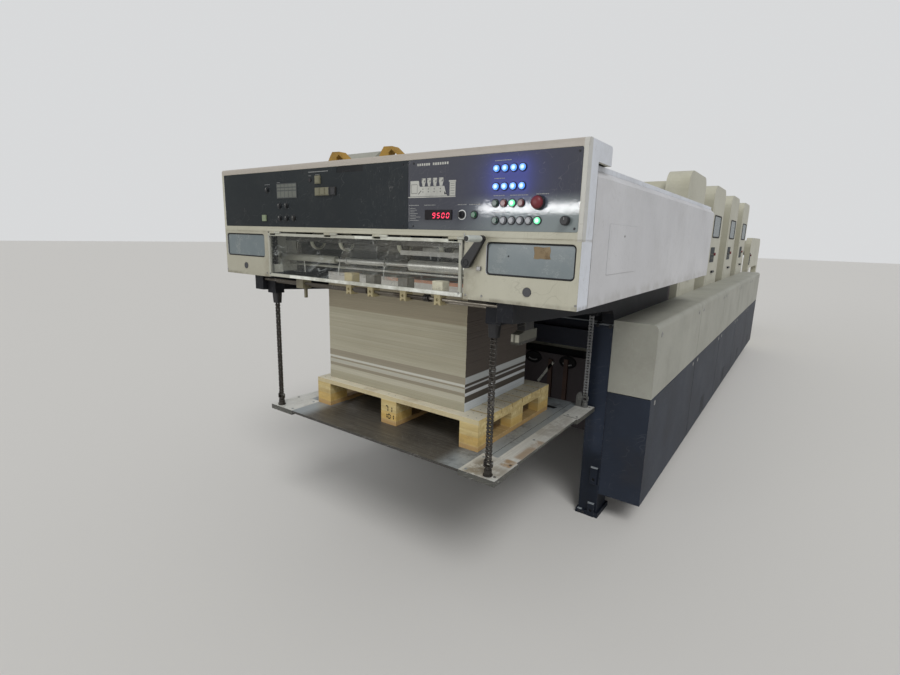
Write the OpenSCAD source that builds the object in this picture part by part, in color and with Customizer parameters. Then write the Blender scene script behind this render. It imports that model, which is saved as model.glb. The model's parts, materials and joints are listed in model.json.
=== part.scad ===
// Offset printing press: pile delivery with its chain hoist, four printing units and a sheet feeder.
// X runs across the press, Y along it from the delivery to the feeder, Z up from the floor.
// Depths are counted from the front face of the delivery hood, heights from the floor.

/* [Delivery hood] */
// Width of the hood across the press
hood_w = 2000; // [1960:10:2120]
// Height of the hood's top
hood_top = 1912; // [1900:1:1960]
// Height of the seam between the console and the panels under it
console_bottom = 1605; // [1600:5:1612]
// Height of the hood's bottom edge
hood_bottom = 1380; // [1370:2:1384]
// Depth of the console box
console_d = 213; // [190:1:240]
// Thickness of the hood's panels
panel_t = 12; // [8:1:14]
// Height of the side covers' top edge
cover_top = 1831; // [1800:1:1840]
// Length of the delivery, to the first printing unit
delivery_len = 2450; // [2200:10:2700]

/* [Side frames] */
// Thickness of each frame casting
frame_t = 65; // [50:1:80]
// Depth of the column's front face
column_d = 1170; // [1166:1:1200]
// Length of the column along the press
column_len = 160; // [120:5:240]
// Width of the column's front flange
flange_w = 110; // [100:1:120]
// Thickness of the column's front flange
flange_t = 30; // [20:1:40]
// Height of the arm's lower edge at the front
arm_low_front = 1308; // [1300:1:1330]
// Height of the arm's lower edge at the column
arm_low_back = 1228; // [1215:1:1250]

/* [Pile hoist] */
// Distance between the left and right chains
chain_span_x = 1322; // [1316:2:1480]
// Distance from each chain's middle to the frame beside it
chain_side_gap = 39; // [36:1:44]
// Depth of the front chains
chain_front = 67; // [64:1:72]
// Distance of the rear chains in front of the column
chain_column_gap = 54; // [50:1:70]
// Height of the pile board's top
board_top = 677; // [660:1:700]
// Thickness of the pile board's corner plates
board_t = 25; // [20:1:30]
// Thickness of the pile board's deck
deck_plate_t = 12; // [8:1:16]
// How far the pile board reaches past the chains on each side
board_reach = 41; // [37:1:44]
// Front edge of the pile board
board_front = 36; // [30:1:40]
// Gap between the pile board and the column
board_column_gap = 22; // [18:1:30]
// Pitch of the hoist chain
chain_pitch = 15.875; // [12.7, 15.875, 19.05]
// How far the board can go down
hoist_travel = 620; // [500:5:625]

/* [Load] */
// Width of the sheets
sheet_w = 900; // [700:10:1000]
// Length of the sheets
sheet_l = 583; // [500:1:640]
// Height of the top sheet
pile_top = 1404; // [1200:1:1410]
// Depth of the sheets' front edge
pile_front = 270; // [240:1:300]
// Sideways offset of the sheets
pile_shift = -44; // [-60:1:0]
// Length of the pallet across the press
pallet_w = 1055; // [1000:5:1100]
// Depth of the pallet along the press
pallet_l = 716; // [660:1:760]
// Height of the pallet
pallet_h = 146; // [140:1:160]

/* [Guard and controls] */
// Left edge of the opening for the clear guard
guard_left = -617; // [-640:1:-600]
// Right edge of the opening for the clear guard
guard_right = 559; // [540:1:580]
// Length of the crank arm between its pivots
crank_len = 105; // [90:1:115]
// Length of the crank grip
grip_len = 90; // [80:1:110]

/* [Printing units] */
// Distance from one unit to the next
unit_pitch = 1230; // [1150:10:1300]
// Length of a unit's tower
tower_len = 720; // [680:5:760]
// Height of the towers
tower_top = 2150; // [2100:5:2250]
// Height of the floor between the towers
deck_top = 620; // [580:5:660]
// Height of the side covers beside the towers
side_top = 1180; // [1120:5:1240]
// Height of the seam between the two colours of the side covers
split_h = 775; // [740:5:800]

/* [Feeder] */
// Length of the sloping feed board
feed_board_len = 900; // [850:10:1000]
// Length of the feeder
feeder_len = 1750; // [1600:10:1900]
// Height of the feeder
feeder_top = 1700; // [1600:10:1800]

/* [Hidden] */
$fn = 32;

half_w = hood_w / 2;
frame_in = chain_span_x / 2 + chain_side_gap;
frame_out = frame_in + frame_t;
crank_gap = 14;
crank_t = 16;
crank_reach = crank_gap + crank_t + grip_len;
units_front = delivery_len;
units_rear = units_front + 4 * unit_pitch;
feeder_front = units_rear + feed_board_len;
press_rear = feeder_front + feeder_len;
front_y = -(press_rear - crank_reach) / 2;
chain_rear = column_d - chain_column_gap;
board_rear = column_d - board_column_gap;

// Points of an arc from angle a0 to a1
function arc(x, y, r, a0, a1, n = 5) =
    [for (i = [0:n]) [x + r * cos(a0 + (a1 - a0) * i / n), y + r * sin(a0 + (a1 - a0) * i / n)]];

// Corner points of a rectangle with round corners
function round_rect(x0, y0, x1, y1, r) = concat(
    arc(x0 + r, y0 + r, r, 180, 270), arc(x1 - r, y0 + r, r, 270, 360),
    arc(x1 - r, y1 - r, r, 0, 90), arc(x0 + r, y1 - r, r, 90, 180));

// Places a child, drawn in depths and heights, in the press frame
module placed() {
    translate([0, front_y, 0]) children();
}

// A profile of [depth, height] points carried across the press from x0 to x1
module across(x0, x1) {
    translate([x0, 0, 0]) rotate([90, 0, 90]) linear_extrude(x1 - x0) children();
}

// A front view of [x, height] points carried from depth d0 to d1
module facing(d0, d1) {
    translate([0, d1, 0]) rotate([90, 0, 0]) linear_extrude(d1 - d0) children();
}

// A block between two corners
module block(a, b) {
    translate(a) cube(b - a);
}

// A round bar along the press, from depth d0 to d1
module button(x, z, r, d0, d1) {
    translate([x, d1, z]) rotate([90, 0, 0]) cylinder(h = d1 - d0, r = r);
}

// A round bar across the press, from x0 to x1
module shaft(x0, x1, d, z, r) {
    translate([x0, d, z]) rotate([0, 90, 0]) cylinder(h = x1 - x0, r = r);
}

// The same child on both sides of the press
module both_sides() {
    children();
    mirror([1, 0, 0]) children();
}

// Side frames: a cantilevered arm over the pile, a column and a beam back to the units
arm_front = panel_t;
arm_seat = console_d - 15;
beam_low = 1150;
column_back = column_d + column_len;
foot_t = 27;
joint_z = 1133;
leg_len = 200;
web_r = 60;
arm_end = [column_d - web_r, arm_low_back + 12];
bolt_r = 9;
column_bolts = [[frame_out - 54, 564], [frame_out - 31, 624], [frame_out - 30, 436]];

// Height of the arm's lower edge at a depth
function arm_low(d) =
    arm_low_front + (arm_end[1] - arm_low_front) * (d - arm_front) / (arm_end[0] - arm_front);

module frame_web() {
    difference() {
        across(frame_in, frame_out) polygon(concat(
            [[arm_front, arm_low_front], arm_end],
            arc(arm_end[0], arm_end[1] - web_r, web_r, 90, 0),
            [[column_d, foot_t], [column_back, foot_t]],
            arc(column_back + web_r, beam_low - web_r, web_r, 180, 90),
            arc(delivery_len - leg_len - web_r, beam_low - web_r, web_r, 90, 0),
            [[delivery_len - leg_len, 0], [delivery_len, 0], [delivery_len, cover_top], [arm_seat, cover_top],
                [arm_seat, hood_top - 105], [arm_front, hood_top - 105]]));
        shaft(frame_in - 1, frame_in + journal + 1, wheels_d, wheels_z, journal_r + 0.06);
    }
}

module column_flange() {
    difference() {
        block([frame_out - flange_w, column_d, foot_t], [frame_out, column_d + flange_t, joint_z]);
        for (p = column_bolts) button(p[0], p[1], bolt_r, column_d - 1, column_d + 14);
    }
    block([frame_out - flange_w - 5, column_d - 5, joint_z], [frame_out, column_d + 60, joint_z + 20]);
}

module side_frames() {
    color([0.13, 0.16, 0.21]) placed() both_sides() {
        frame_web();
        column_flange();
    }
}

// Foot of each column, and the drilled plates screwed on its front
module column_feet() {
    plate_x = frame_out - 30;
    color([0.2, 0.21, 0.24]) placed() both_sides() difference() {
        union() {
            block([frame_out - flange_w - 10, column_d - 12, 0], [frame_out + 12, column_back + 20, foot_t]);
            block([plate_x - 20, column_d - 14, 0], [plate_x + 20, column_d, 82]);
            block([plate_x - 20, column_d - 14, 205], [plate_x + 20, column_d, 308]);
        }
        for (z = [37, 235]) button(plate_x, z, bolt_r, column_d - 15, column_d - 2);
    }
}

// Beams that tie the two frames together behind the pile
module cross_beams() {
    inner = frame_out - flange_w;
    beam_top = joint_z - 29;
    color([0.12, 0.14, 0.18]) placed() {
        block([-inner, column_d + 4, beam_top - 104], [inner, column_d + 90, beam_top]);
        block([-frame_in, column_d + 62, beam_top], [frame_in, column_d + 92, hood_bottom - 10]);
        block([-frame_in, column_d + 10, hood_bottom - 90], [frame_in, column_d + 62, hood_bottom - 10]);
    }
}

// Guide channels round the chains where they come out of the hood
guide_out = frame_in;
guide_in = chain_span_x / 2 - 24;
guide_half = 27;
shoe_gap = 0.3;

module chain_guide(d, low) {
    high = hood_bottom + 60;
    shoe_x = plate_out + shoe_gap;
    difference() {
        block([guide_in, d - guide_half, low], [guide_out, d + guide_half, high]);
        block([chain_x - shoe_x, d - 12, low - 1], [chain_x + shoe_x, d + 12, high + 1]);
        block([chain_x - 18, d - 18, low - 1], [chain_x + 18, d + 18, hood_bottom + 20]);
    }
}

module chain_guides() {
    color([0.15, 0.17, 0.21]) placed() both_sides() {
        chain_guide(chain_front, hood_bottom - 88);
        chain_guide(chain_rear, hood_bottom - 175);
    }
}

// Limit switch hung under the right arm, with its plunger at the front
switch_d = [104, 256];
switch_z = [1212, 1260];
bracket_d = [150, 226];

module limit_switch() {
    plunger_r = 7;
    color([0.42, 0.42, 0.38]) placed() {
        across(frame_out - 52, frame_out - 20) polygon([
            [bracket_d[0], arm_low(bracket_d[0])], [bracket_d[0], switch_z[1]], [switch_d[0], switch_z[1] - 8],
            [switch_d[0], switch_z[0] + 8], [switch_d[0] + 8, switch_z[0]],
            [switch_d[1] - 10, switch_z[0]], [switch_d[1], switch_z[0] + 10],
            [switch_d[1], switch_z[1]], [bracket_d[1], switch_z[1]],
            [bracket_d[1], arm_low(bracket_d[1])]]);
        translate([frame_out - 36, switch_d[0] + 2, switch_z[0] + 9]) cylinder(h = 30, r = plunger_r);
    }
}

// Console: an open-backed box with rounded front edges
edge = 12;
step_z = cover_top + 18;
strip_d = 90;
panel_low = console_bottom + 23;
panel_high = hood_top - 27;
dial_top = panel_high + 20;
panel_split = 289;
recess = 3;

module console_housing() {
    color([0.72, 0.70, 0.62]) placed() difference() {
        across(-half_w, half_w) polygon(concat(
            [[0, console_bottom]], arc(edge, hood_top - edge, edge, 180, 90),
            arc(console_d - edge, hood_top - edge, edge, 90, 0),
            [[console_d, step_z], [strip_d, step_z], [strip_d, console_bottom]]));
        block([panel_t - half_w, panel_t, console_bottom - 1],
            [half_w - panel_t, console_d - panel_t, hood_top - panel_t]);
        facing(-1, recess)
            polygon(round_rect(16 - half_w, panel_low, half_w - 16, panel_high, 6));
    }
}

module panel_plate(x0, x1) {
    facing(0.5, recess) polygon(round_rect(x0, panel_low + 0.5, x1, panel_high - 0.5, 5));
}

module console_panels() {
    plate_x = [panel_split - 402, panel_split - 245];
    color([0.22, 0.25, 0.27]) placed() {
        difference() {
            panel_plate(16.5 - half_w, panel_split - 0.5);
            block([plate_x[0], 0, panel_high - 26], [plate_x[1], 1.5, panel_high - 1]);
        }
        panel_plate(panel_split + 0.5, half_w - 16.5);
    }
}

// Rows of buttons, on a grid that hangs from the console's top right corner
col_x = [for (i = [0:3]) half_w - 318 + i * 33];
row_z = [dial_top - 70, dial_top - 129, dial_top - 184, dial_top - 241];
button_r = 12;
face = 0.5;

module push_button(x, z, r) {
    button(x, z, r, face - 4, face);
    button(x, z, r * 0.78, face - 10, face - 4);
}

module push_buttons() {
    color([0.25, 0.55, 1.0]) placed() for (x = col_x, z = [row_z[0], row_z[1]]) push_button(x, z, button_r);
    color([0.2, 0.3, 0.28]) placed() {
        for (x = col_x) push_button(x, row_z[2], button_r);
        for (i = [0:5]) push_button(half_w - 316 + i * 32, row_z[3], button_r);
        push_button(half_w - 403, row_z[3] + 19, 11);
    }
}

// Red mushroom button, key switch with its ring, and black rotary knob
stop_x = half_w - 153;
knob_x = half_w - 57;
key_x = half_w - 456;
stop_r = 10;
stop_travel = 4;

module stem(x, z) {
    button(x, z, 14, face - 5, face);
}

module stop_button() {
    color([0.75, 0.1, 0.12]) placed() translate([stop_x, face, row_z[2]]) rotate([90, 0, 0])
        rotate_extrude() polygon(concat([[0, stop_travel + 0.5], [stop_r, stop_travel + 0.5], [stop_r, 13]],
            arc(22, 18, 5, -90, 0, 4), arc(0, 2, 27.5, 40, 90, 5)));
}

module speed_knob() {
    color([0.08, 0.08, 0.1]) placed() translate([knob_x, face - 5.5, row_z[3]]) rotate([90, 0, 0]) {
        cylinder(h = 14, r = 19);
        translate([-5, -19, 14]) cube([10, 38, 12]);
    }
}

module key_selector() {
    color([0.12, 0.12, 0.13]) placed() translate([key_x, face - 5.5, row_z[3] + 19]) rotate([90, 0, 0]) {
        cylinder(h = 6, r = 11);
        translate([-3, -9, 6]) cube([6, 18, 12]);
    }
}

module speed_display() {
    color([0.06, 0.03, 0.08]) placed()
        block([half_w - 625, face - 3, row_z[3] + 1], [half_w - 500, face, row_z[3] + 37]);
}

// Knobs and square modules of the left half of the console, and the seats of the turning knobs
module panel_modules() {
    color([0.55, 0.55, 0.47]) placed() {
        for (p = [[-609, -103], [-516, -179], [-464, -179], [-516, -237], [-464, -237], [-412, -237]])
            push_button(p[0], dial_top + p[1], 12);
        button(-288, dial_top - 69, 8, face - 4, face);
        block([-655, face - 6, dial_top - 251], [-625, face, dial_top - 221]);
        block([-251, face - 6, dial_top - 87], [-217, face, dial_top - 53]);
        for (i = [0:3])
            block([-252 + i * 34, face - 6, dial_top - 138], [-220 + i * 34, face, dial_top - 104]);
        block([-534, face - 2, dial_top - 145], [-384, face, dial_top - 77]);
        stem(knob_x, row_z[3]);
        stem(key_x, row_z[3] + 19);
        difference() {
            button(stop_x, row_z[2], 16, face - 6, face);
            button(stop_x, row_z[2], stop_r + 0.08, face - 7, face + 1);
        }
    }
}

// Panels beside the clear guard, each with a dark window and a return round the corner
window_in = half_w - 347;
window_out = half_w - 15;
window_low = hood_bottom + 95;
window_high = console_bottom - 14;
plug_r = 16;
plug_at = [half_w - 180, hood_bottom + 47];

module cheek(inner) {
    difference() {
        facing(0, panel_t) polygon([[inner, hood_bottom], [half_w, hood_bottom],
            [half_w, console_bottom], [inner, console_bottom]]);
        facing(-1, panel_t + 1) polygon(round_rect(window_in, window_low, window_out, window_high, 15));
        button(plug_at[0], plug_at[1], plug_r, -1, panel_t + 1);
    }
    block([half_w - panel_t, panel_t, hood_bottom], [half_w, strip_d, console_bottom]);
}

module cheek_panels() {
    color([0.74, 0.72, 0.64]) placed() {
        cheek(guard_right);
        mirror([1, 0, 0]) cheek(-guard_left);
    }
}

module cheek_windows() {
    gap = 0.3;
    color([0.38, 0.44, 0.46]) placed() both_sides() facing(5, 9)
        polygon(round_rect(window_in + gap, window_low + gap, window_out - gap, window_high - gap, 15));
}

module hole_plugs() {
    color([0.2, 0.2, 0.22]) placed() both_sides() {
        button(plug_at[0], plug_at[1], plug_r - 0.3, -2, panel_t);
    }
}

// Clear guard over the delivery opening, on a hinge under the console
guard_gap = 5;
hinge_d = -8;
hinge_z = console_bottom - 5;
pin_r = 2;
knuckle_r = 5;
guard_x0 = guard_left + guard_gap;
guard_x1 = guard_right - guard_gap;
guard_low = hood_bottom + 6;
guard_high = console_bottom - 8;
guard_back = 2;
border = 13;
rail_knuckles = [guard_x0 + 20, guard_x0 + 420, guard_x0 + 720, guard_x1 - 60];
leaf_knuckles = [for (x = rail_knuckles) x + 41];

// A hinge knuckle with its leaf, which goes up to the rail or down to the frame
module knuckle(x, leaf_z) {
    shaft(x, x + 40, hinge_d, hinge_z, knuckle_r);
    block([x, hinge_d, min(leaf_z, hinge_z)], [x + 40, hinge_d + 4, max(leaf_z, hinge_z)]);
}

module guard_rail() {
    color([0.76, 0.74, 0.66]) placed() {
        block([guard_left, hinge_d + 2, console_bottom], [guard_right, 0, console_bottom + 14]);
        for (x = rail_knuckles) {
            knuckle(x, console_bottom + 2);
            shaft(x + 39, x + 82, hinge_d, hinge_z, pin_r);
        }
    }
}

module guard_frame() {
    color([0.78, 0.76, 0.68]) placed() {
        difference() {
            block([guard_x0, hinge_d, guard_low], [guard_x1, guard_back, guard_high]);
            block([guard_x0 + border, hinge_d - 1, guard_low + border + 2],
                [guard_x1 - border, guard_back + 1, guard_high - border]);
            for (x = rail_knuckles)
                block([x - 2, hinge_d - 1, hinge_z - 12], [x + 40.5, guard_back + 1, guard_high + 1]);
        }
        for (x = leaf_knuckles) difference() {
            knuckle(x, guard_high - 1);
            shaft(x - 1, x + 41, hinge_d, hinge_z, pin_r + 0.08);
        }
    }
}

module guard_pane() {
    color([0.8, 0.85, 0.86, 0.35]) placed()
        block([guard_x0 + border, -5, guard_low + border + 2], [guard_x1 - border, -1, guard_high - border]);
}

// Crank beside the guard
crank_at = [585, hood_bottom + 135];
crank_angle = 54.5;
hub_r = 20;
crank_bore = 8.08;

// Outline of an arm between two round ends
function arm_outline(r1, r2, len) =
    let (a = acos((r1 - r2) / len)) concat(arc(0, 0, r1, a, 360 - a, 16), arc(len, 0, r2, -a, a, 10));

module crank_boss() {
    color([0.3, 0.3, 0.31]) placed() {
        button(crank_at[0], crank_at[1], hub_r - 3, -crank_gap + 1, 0);
        button(crank_at[0], crank_at[1], crank_bore - 0.08, -crank_gap - crank_t + 2, -crank_gap + 1);
        block([crank_at[0] + 34, -8, crank_at[1] - 26], [crank_at[0] + 50, 0, crank_at[1] - 12]);
    }
}

module crank_arm() {
    color([0.09, 0.09, 0.1]) placed() difference() {
        translate([crank_at[0], 0, crank_at[1]]) rotate([0, -crank_angle, 0])
            facing(-crank_gap - crank_t, -crank_gap) polygon(arm_outline(hub_r, 12, crank_len));
        button(crank_at[0], crank_at[1], crank_bore, -crank_gap - crank_t - 1, -crank_gap + 1);
    }
}

module crank_grip() {
    color([0.72, 0.74, 0.72]) placed()
        translate([crank_at[0] + crank_len * cos(crank_angle), -crank_gap - crank_t,
            crank_at[1] + crank_len * sin(crank_angle)]) rotate([90, 0, 0])
            rotate_extrude() polygon([[0, 0], [8, 0], [11, 6], [12, grip_len * 0.5], [11, grip_len - 4],
                [9, grip_len], [0, grip_len]]);
}

// Jogger shafts under the guard, with their clevis blocks, a coupling and a collar
jogger_d = 30;
jogger_z = hood_bottom - 17;
jogger_r = 7;
rail_r = 5;
rail_at = [jogger_d + 22, jogger_z - 12];
clevis_x = [-67, 66, 251, 428];
clevis_w = 31;
clevis_head = 50;
finger_x = [-430, -380];

module jogger_shafts() {
    color([0.45, 0.45, 0.45]) placed() {
        shaft(-frame_in, frame_in, jogger_d, jogger_z, jogger_r);
        shaft(-guide_in, guide_in, rail_at[0], rail_at[1], rail_r);
        shaft(-38, 38, jogger_d, jogger_z, 13);
        shaft(355, 379, jogger_d, jogger_z, 15);
    }
}

module jogger_bores(x0, x1) {
    shaft(x0, x1, jogger_d, jogger_z, jogger_r);
    shaft(x0, x1, rail_at[0], rail_at[1], rail_r);
}

// A clevis: a head behind the guard's lower edge, and a drilled fork with an arched end below it
module clevis(x) {
    half = clevis_w / 2;
    low = jogger_z - 22;
    difference() {
        union() {
            facing(jogger_d - 14, jogger_d + 30) polygon(concat([[x - half, low], [x - 8, low]],
                arc(x, low, 8, 180, 0, 6), [[x + 8, low], [x + half, low], [x + half, jogger_z + 24],
                [x - half, jogger_z + 24]]));
            block([x - clevis_head / 2, jogger_d - 14, jogger_z + 24],
                [x + clevis_head / 2, jogger_d + 30, jogger_z + 72]);
        }
        jogger_bores(x - half - 1, x + half + 1);
        button(x, jogger_z, 6, jogger_d - 15, jogger_d - 9);
    }
}

module jogger_clevises() {
    color([0.75, 0.70, 0.52]) placed() {
        for (x = clevis_x) clevis(x);
        difference() {
            union() {
                block([finger_x[0], jogger_d - 16, jogger_z - 24],
                    [finger_x[1], jogger_d + 34, jogger_z + 18]);
                block([finger_x[1] - 18, jogger_d + 4, jogger_z - 70],
                    [finger_x[1] - 6, jogger_d + 16, jogger_z - 20]);
            }
            jogger_bores(finger_x[0] - 1, finger_x[1] + 1);
        }
    }
}

// Bars inside the hood, seen through the guard: a stepped cross shaft, two rods, a rail and a carrier
cross_d = 140;
cross_z = hood_bottom + 98;
tube_r = 18;
step_x = [-280, 190];
feed_roller_r = 24;
plate_d = cross_d + tube_r + shoe_gap;
carrier_z = hood_bottom + 180;

module guide_tubes() {
    color([0.5, 0.5, 0.5]) placed() {
        shaft(-frame_in, step_x[0], cross_d, cross_z, tube_r);
        shaft(step_x[0] - 1, step_x[1] + 1, cross_d, cross_z, tube_r / 2);
        shaft(step_x[1], frame_in, cross_d, cross_z, feed_roller_r);
        shaft(-frame_in, frame_in, cross_d + 50, cross_z - 38, 6);
        shaft(-frame_in, frame_in, cross_d + 190, cross_z + 62, 22);
        block([120, cross_d + 10, cross_z + 42], [frame_in, cross_d + 16, cross_z + 62]);
        block([-frame_in, plate_d + 3, carrier_z], [frame_in, plate_d + 12, carrier_z + 20]);
    }
}

// Bent clear plates that hang from the carrier and keep the sheets' edges down
module deflector(x0, x1, bulge) {
    low = hood_bottom + 22;
    high = carrier_z + 20;
    facing(plate_d, plate_d + 3) polygon(concat([[x1, low], [x1, high], [x0 + bulge, high]],
        [for (t = [0.2:0.2:1]) [x0 + bulge * (1 - t) * (1 - t), high + (low - high) * t]]));
}

module deflectors() {
    color([0.7, 0.75, 0.75, 0.4]) placed() {
        deflector(-290, -30, 70);
        deflector(10, 150, 50);
        mirror([1, 0, 0]) deflector(545, 690, 55);
    }
}

// Wheels on a shaft that slow each sheet down
wheels_d = 250;
wheels_z = hood_bottom + 182;
wheel_r = 45;
wheel_w = 20;
rim_t = 8;
web_t = 6;
hub_d = 34;
journal = 20;
journal_r = 10;

module sheet_wheel(x) {
    side = (wheel_w - web_t) / 2;
    difference() {
        shaft(x - wheel_w / 2, x + wheel_w / 2, wheels_d, wheels_z, wheel_r);
        for (s = [x - wheel_w / 2 - 1, x + web_t / 2]) difference() {
            shaft(s, s + side + 1, wheels_d, wheels_z, wheel_r - rim_t);
            shaft(s - 1, s + side + 2, wheels_d, wheels_z, hub_d / 2);
        }
    }
}

module sheet_wheels() {
    color([0.5, 0.5, 0.48]) placed() {
        shaft(-frame_in - journal, frame_in + journal, wheels_d, wheels_z, journal_r);
        for (x = [-546, -328, 60, 300]) sheet_wheel(x);
    }
}

// Covers along both sides of the hood, bevelled at the top and turned in at the bottom
cover_t = 35;
bevel = 25;

module cover_section(inner) {
    polygon([[frame_out, hood_bottom], [half_w, hood_bottom], [half_w, cover_top - bevel],
        [half_w - bevel, cover_top], [inner, cover_top], [inner, hood_bottom + panel_t],
        [frame_out, hood_bottom + panel_t]]);
}

module side_covers() {
    rear = delivery_len - 6;
    color([0.72, 0.74, 0.75]) placed() both_sides() {
        facing(strip_d + 6, rear) cover_section(half_w - cover_t);
        facing(rear - panel_t, rear) cover_section(frame_out);
    }
}

module hood_roof() {
    color([0.70, 0.69, 0.63]) placed() {
        block([bevel - half_w, strip_d + 60, cover_top], [half_w - bevel, delivery_len, step_z]);
    }
}

// Rounded housing of the extraction fan on the roof
cowl_x = [-830, -530];
cowl_d = 640;
cowl_h = 116;
cowl_r = 120;

module roof_cowl() {
    color([0.35, 0.34, 0.34]) placed() across(cowl_x[0], cowl_x[1]) polygon(concat(
        [[cowl_d, step_z]], arc(cowl_d + cowl_r, step_z + cowl_h, cowl_r, 180, 0, 12),
        [[cowl_d + 2 * cowl_r, step_z]]));
}

// Yellow clamps behind the console, each with a sloping strap over an eye
clamp_x = [-440, -81];
clamp_d = 300;
clamp_t = 45;
clamp_h = 162;
clamp_half = 72;

module clamp_side() {
    polygon([[-clamp_half, 0], [-clamp_half + 2, clamp_h - 44], [-clamp_half + 17, clamp_h - 20],
        [-clamp_half + 34, clamp_h], [14, clamp_h - 2], [clamp_half - 4, clamp_h - 44],
        [clamp_half, 0]]);
}

module clamp_eye() {
    polygon([[-8, 12], [-8, clamp_h - 30], [10, clamp_h - 16], [clamp_half - 14, clamp_h - 52],
        [clamp_half - 11, 12]]);
}

module lifting_clamps() {
    color([0.75, 0.58, 0.1]) placed() for (x = clamp_x) facing(clamp_d, clamp_d + clamp_t)
        translate([x, step_z]) difference() {
            clamp_side();
            clamp_eye();
        }
}

// Two-coloured covers along the sides, from the column to the last unit
seam = 4;
skirt = 150;

module bay_covers(low, high, top_r) {
    bays = concat([[column_d, units_front]], [for (i = [0:3]) let (d = units_front + i * unit_pitch)
        [d, d + unit_pitch]]);
    both_sides() for (b = bays) facing(b[0] + seam, b[1] - seam) polygon(concat(
        [[frame_out, low], [half_w, low]], arc(half_w - top_r, high - top_r, top_r, 0, 90),
        [[frame_out, high]]));
}

module lower_side_covers() { color([0.13, 0.16, 0.21]) placed() bay_covers(skirt, split_h - seam, 6); }

module upper_side_covers() { color([0.47, 0.47, 0.44]) placed() bay_covers(split_h, side_top, 30); }

// Enclosed chain way from the hood down to the last tower, between the frames
chain_way_len = 750;
chain_way_low = 700;

module chain_housing() {
    tower = unit_d(0) + tower_gap;
    color([0.2, 0.21, 0.23]) placed() across(-frame_in, frame_in) polygon([
        [delivery_len - chain_way_len, hood_bottom + 120], [delivery_len - chain_way_len, cover_top],
        [delivery_len, cover_top], [tower, chain_way_low + 600], [tower, chain_way_low],
        [delivery_len, chain_way_low + 50], [delivery_len - leg_len, chain_way_low + 200]]);
}

// Pile board: a deck between two end strips, with thicker plates at the corners that carry the chains
end_w = 90;
board_low = board_top - board_t;
board_half = chain_span_x / 2 + board_reach;
strip_in = board_half - end_w;
corner_in = board_half - 165;
corner_front = board_front + 195;
corner_rear = board_rear - 258;
corner_lip = 8;
groove = 3;
grey_edge = strip_in - 37;
slot_x = [470, 544];
slot_d = board_rear - 157;

module pile_board() {
    low = board_top - deck_plate_t;
    color([0.45, 0.43, 0.40]) placed() difference() {
        block([-strip_in, board_front, low], [strip_in, board_rear, board_top]);
        both_sides() {
            block([corner_in, board_front - 1, low - 1], [strip_in + 1, corner_front, board_top + 1]);
            block([grey_edge, board_front - 1, board_top - groove],
                [grey_edge + 2, board_rear + 1, board_top + 1]);
            block([slot_x[0], slot_d, low - 1], [slot_x[1], slot_d + 14, board_top + 1]);
        }
    }
}

module board_ends() {
    out = board_half + corner_lip;
    color([0.58, 0.59, 0.6]) placed() both_sides() {
        block([corner_in, board_front, board_low], [out, corner_front, board_top]);
        block([strip_in, corner_front, board_top - deck_plate_t], [board_half, corner_rear, board_top]);
        block([strip_in, corner_rear, board_low], [out, board_rear, board_top]);
    }
}

// Sockets that hold the chains on the board: washer, barrel, nut and a fork with a pin
chain_x = chain_span_x / 2;
washer_r = 20;
washer_t = 5;
barrel_r = 16;
barrel_h = 25;
nut_r = 12;
fork_z = board_top + 40;
fork_t = 5;
fork_d = 9;
first_pin = fork_z + 16;
fork_pin_r = 3;

module chain_socket(d) {
    cheek_x = plate_out + shoe_gap;
    translate([chain_x, d, board_top]) {
        cylinder(h = washer_t, r = washer_r);
        cylinder(h = barrel_h, r = barrel_r);
        cylinder(h = fork_z - board_top, r = nut_r, $fn = 6);
    }
    block([chain_x - cheek_x - fork_t, d - fork_d, fork_z - 4],
        [chain_x + cheek_x + fork_t, d + fork_d, fork_z]);
    for (x = [chain_x - cheek_x - fork_t, chain_x + cheek_x]) across(x, x + fork_t) polygon(concat(
        [[d - fork_d, fork_z - 1], [d + fork_d, fork_z - 1]], arc(d, first_pin, fork_d, 0, 180, 8)));
    shaft(chain_x - cheek_x - 1, chain_x + cheek_x + 1, d, first_pin, fork_pin_r);
}

// Upright bracket beside each rear socket
module socket_bracket(d) {
    out = chain_x - plate_out - shoe_gap - fork_t;
    facing(d - 14, d + 14) polygon(concat([[out - 30, board_top], [out, board_top], [out, board_top + 66]],
        arc(out - 14, board_top + 66, 14, 0, 120), [[out - 30, board_top + 60]]));
}

module chain_sockets() {
    color([0.25, 0.26, 0.26]) placed() both_sides() {
        for (d = [chain_front, chain_rear]) chain_socket(d);
        socket_bracket(chain_rear);
    }
}

// Hoist chains: rollers between waisted plates, inner and outer links by turns, with inner links at both ends
roller_r = 5.08;
plate_r = 7.3;
waist = 4.8;
plate_in = 6;
plate_t = 3;
plate_out = plate_in + 2 * plate_t;

// Outlines of every second link, from link number first
module link_plates(first, links) {
    for (i = [first:2:links - 1]) {
        for (k = [i, i + 1]) translate([0, k * chain_pitch]) circle(r = plate_r);
        translate([-waist, i * chain_pitch]) square([2 * waist, chain_pitch]);
    }
}

module hoist_chain(d, high) {
    room = floor((high - first_pin - plate_r) / chain_pitch);
    links = room - (room + 1) % 2;
    difference() {
        translate([chain_x, d, first_pin]) {
            across(-plate_in, plate_in) for (i = [0:links])
                translate([0, i * chain_pitch]) circle(r = roller_r);
            for (x = [-plate_in - plate_t, plate_in]) across(x, x + plate_t) link_plates(0, links);
            for (x = [-plate_out, plate_out - plate_t]) across(x, x + plate_t) link_plates(1, links);
        }
        shaft(chain_x - plate_out - 1, chain_x + plate_out + 1, d, first_pin, fork_pin_r + 0.08);
    }
}

module hoist_chains() {
    color([0.3, 0.3, 0.3]) placed() both_sides() {
        hoist_chain(chain_front, hood_top - panel_t - 3);
        hoist_chain(chain_rear, cover_top - 6);
    }
}

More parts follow.
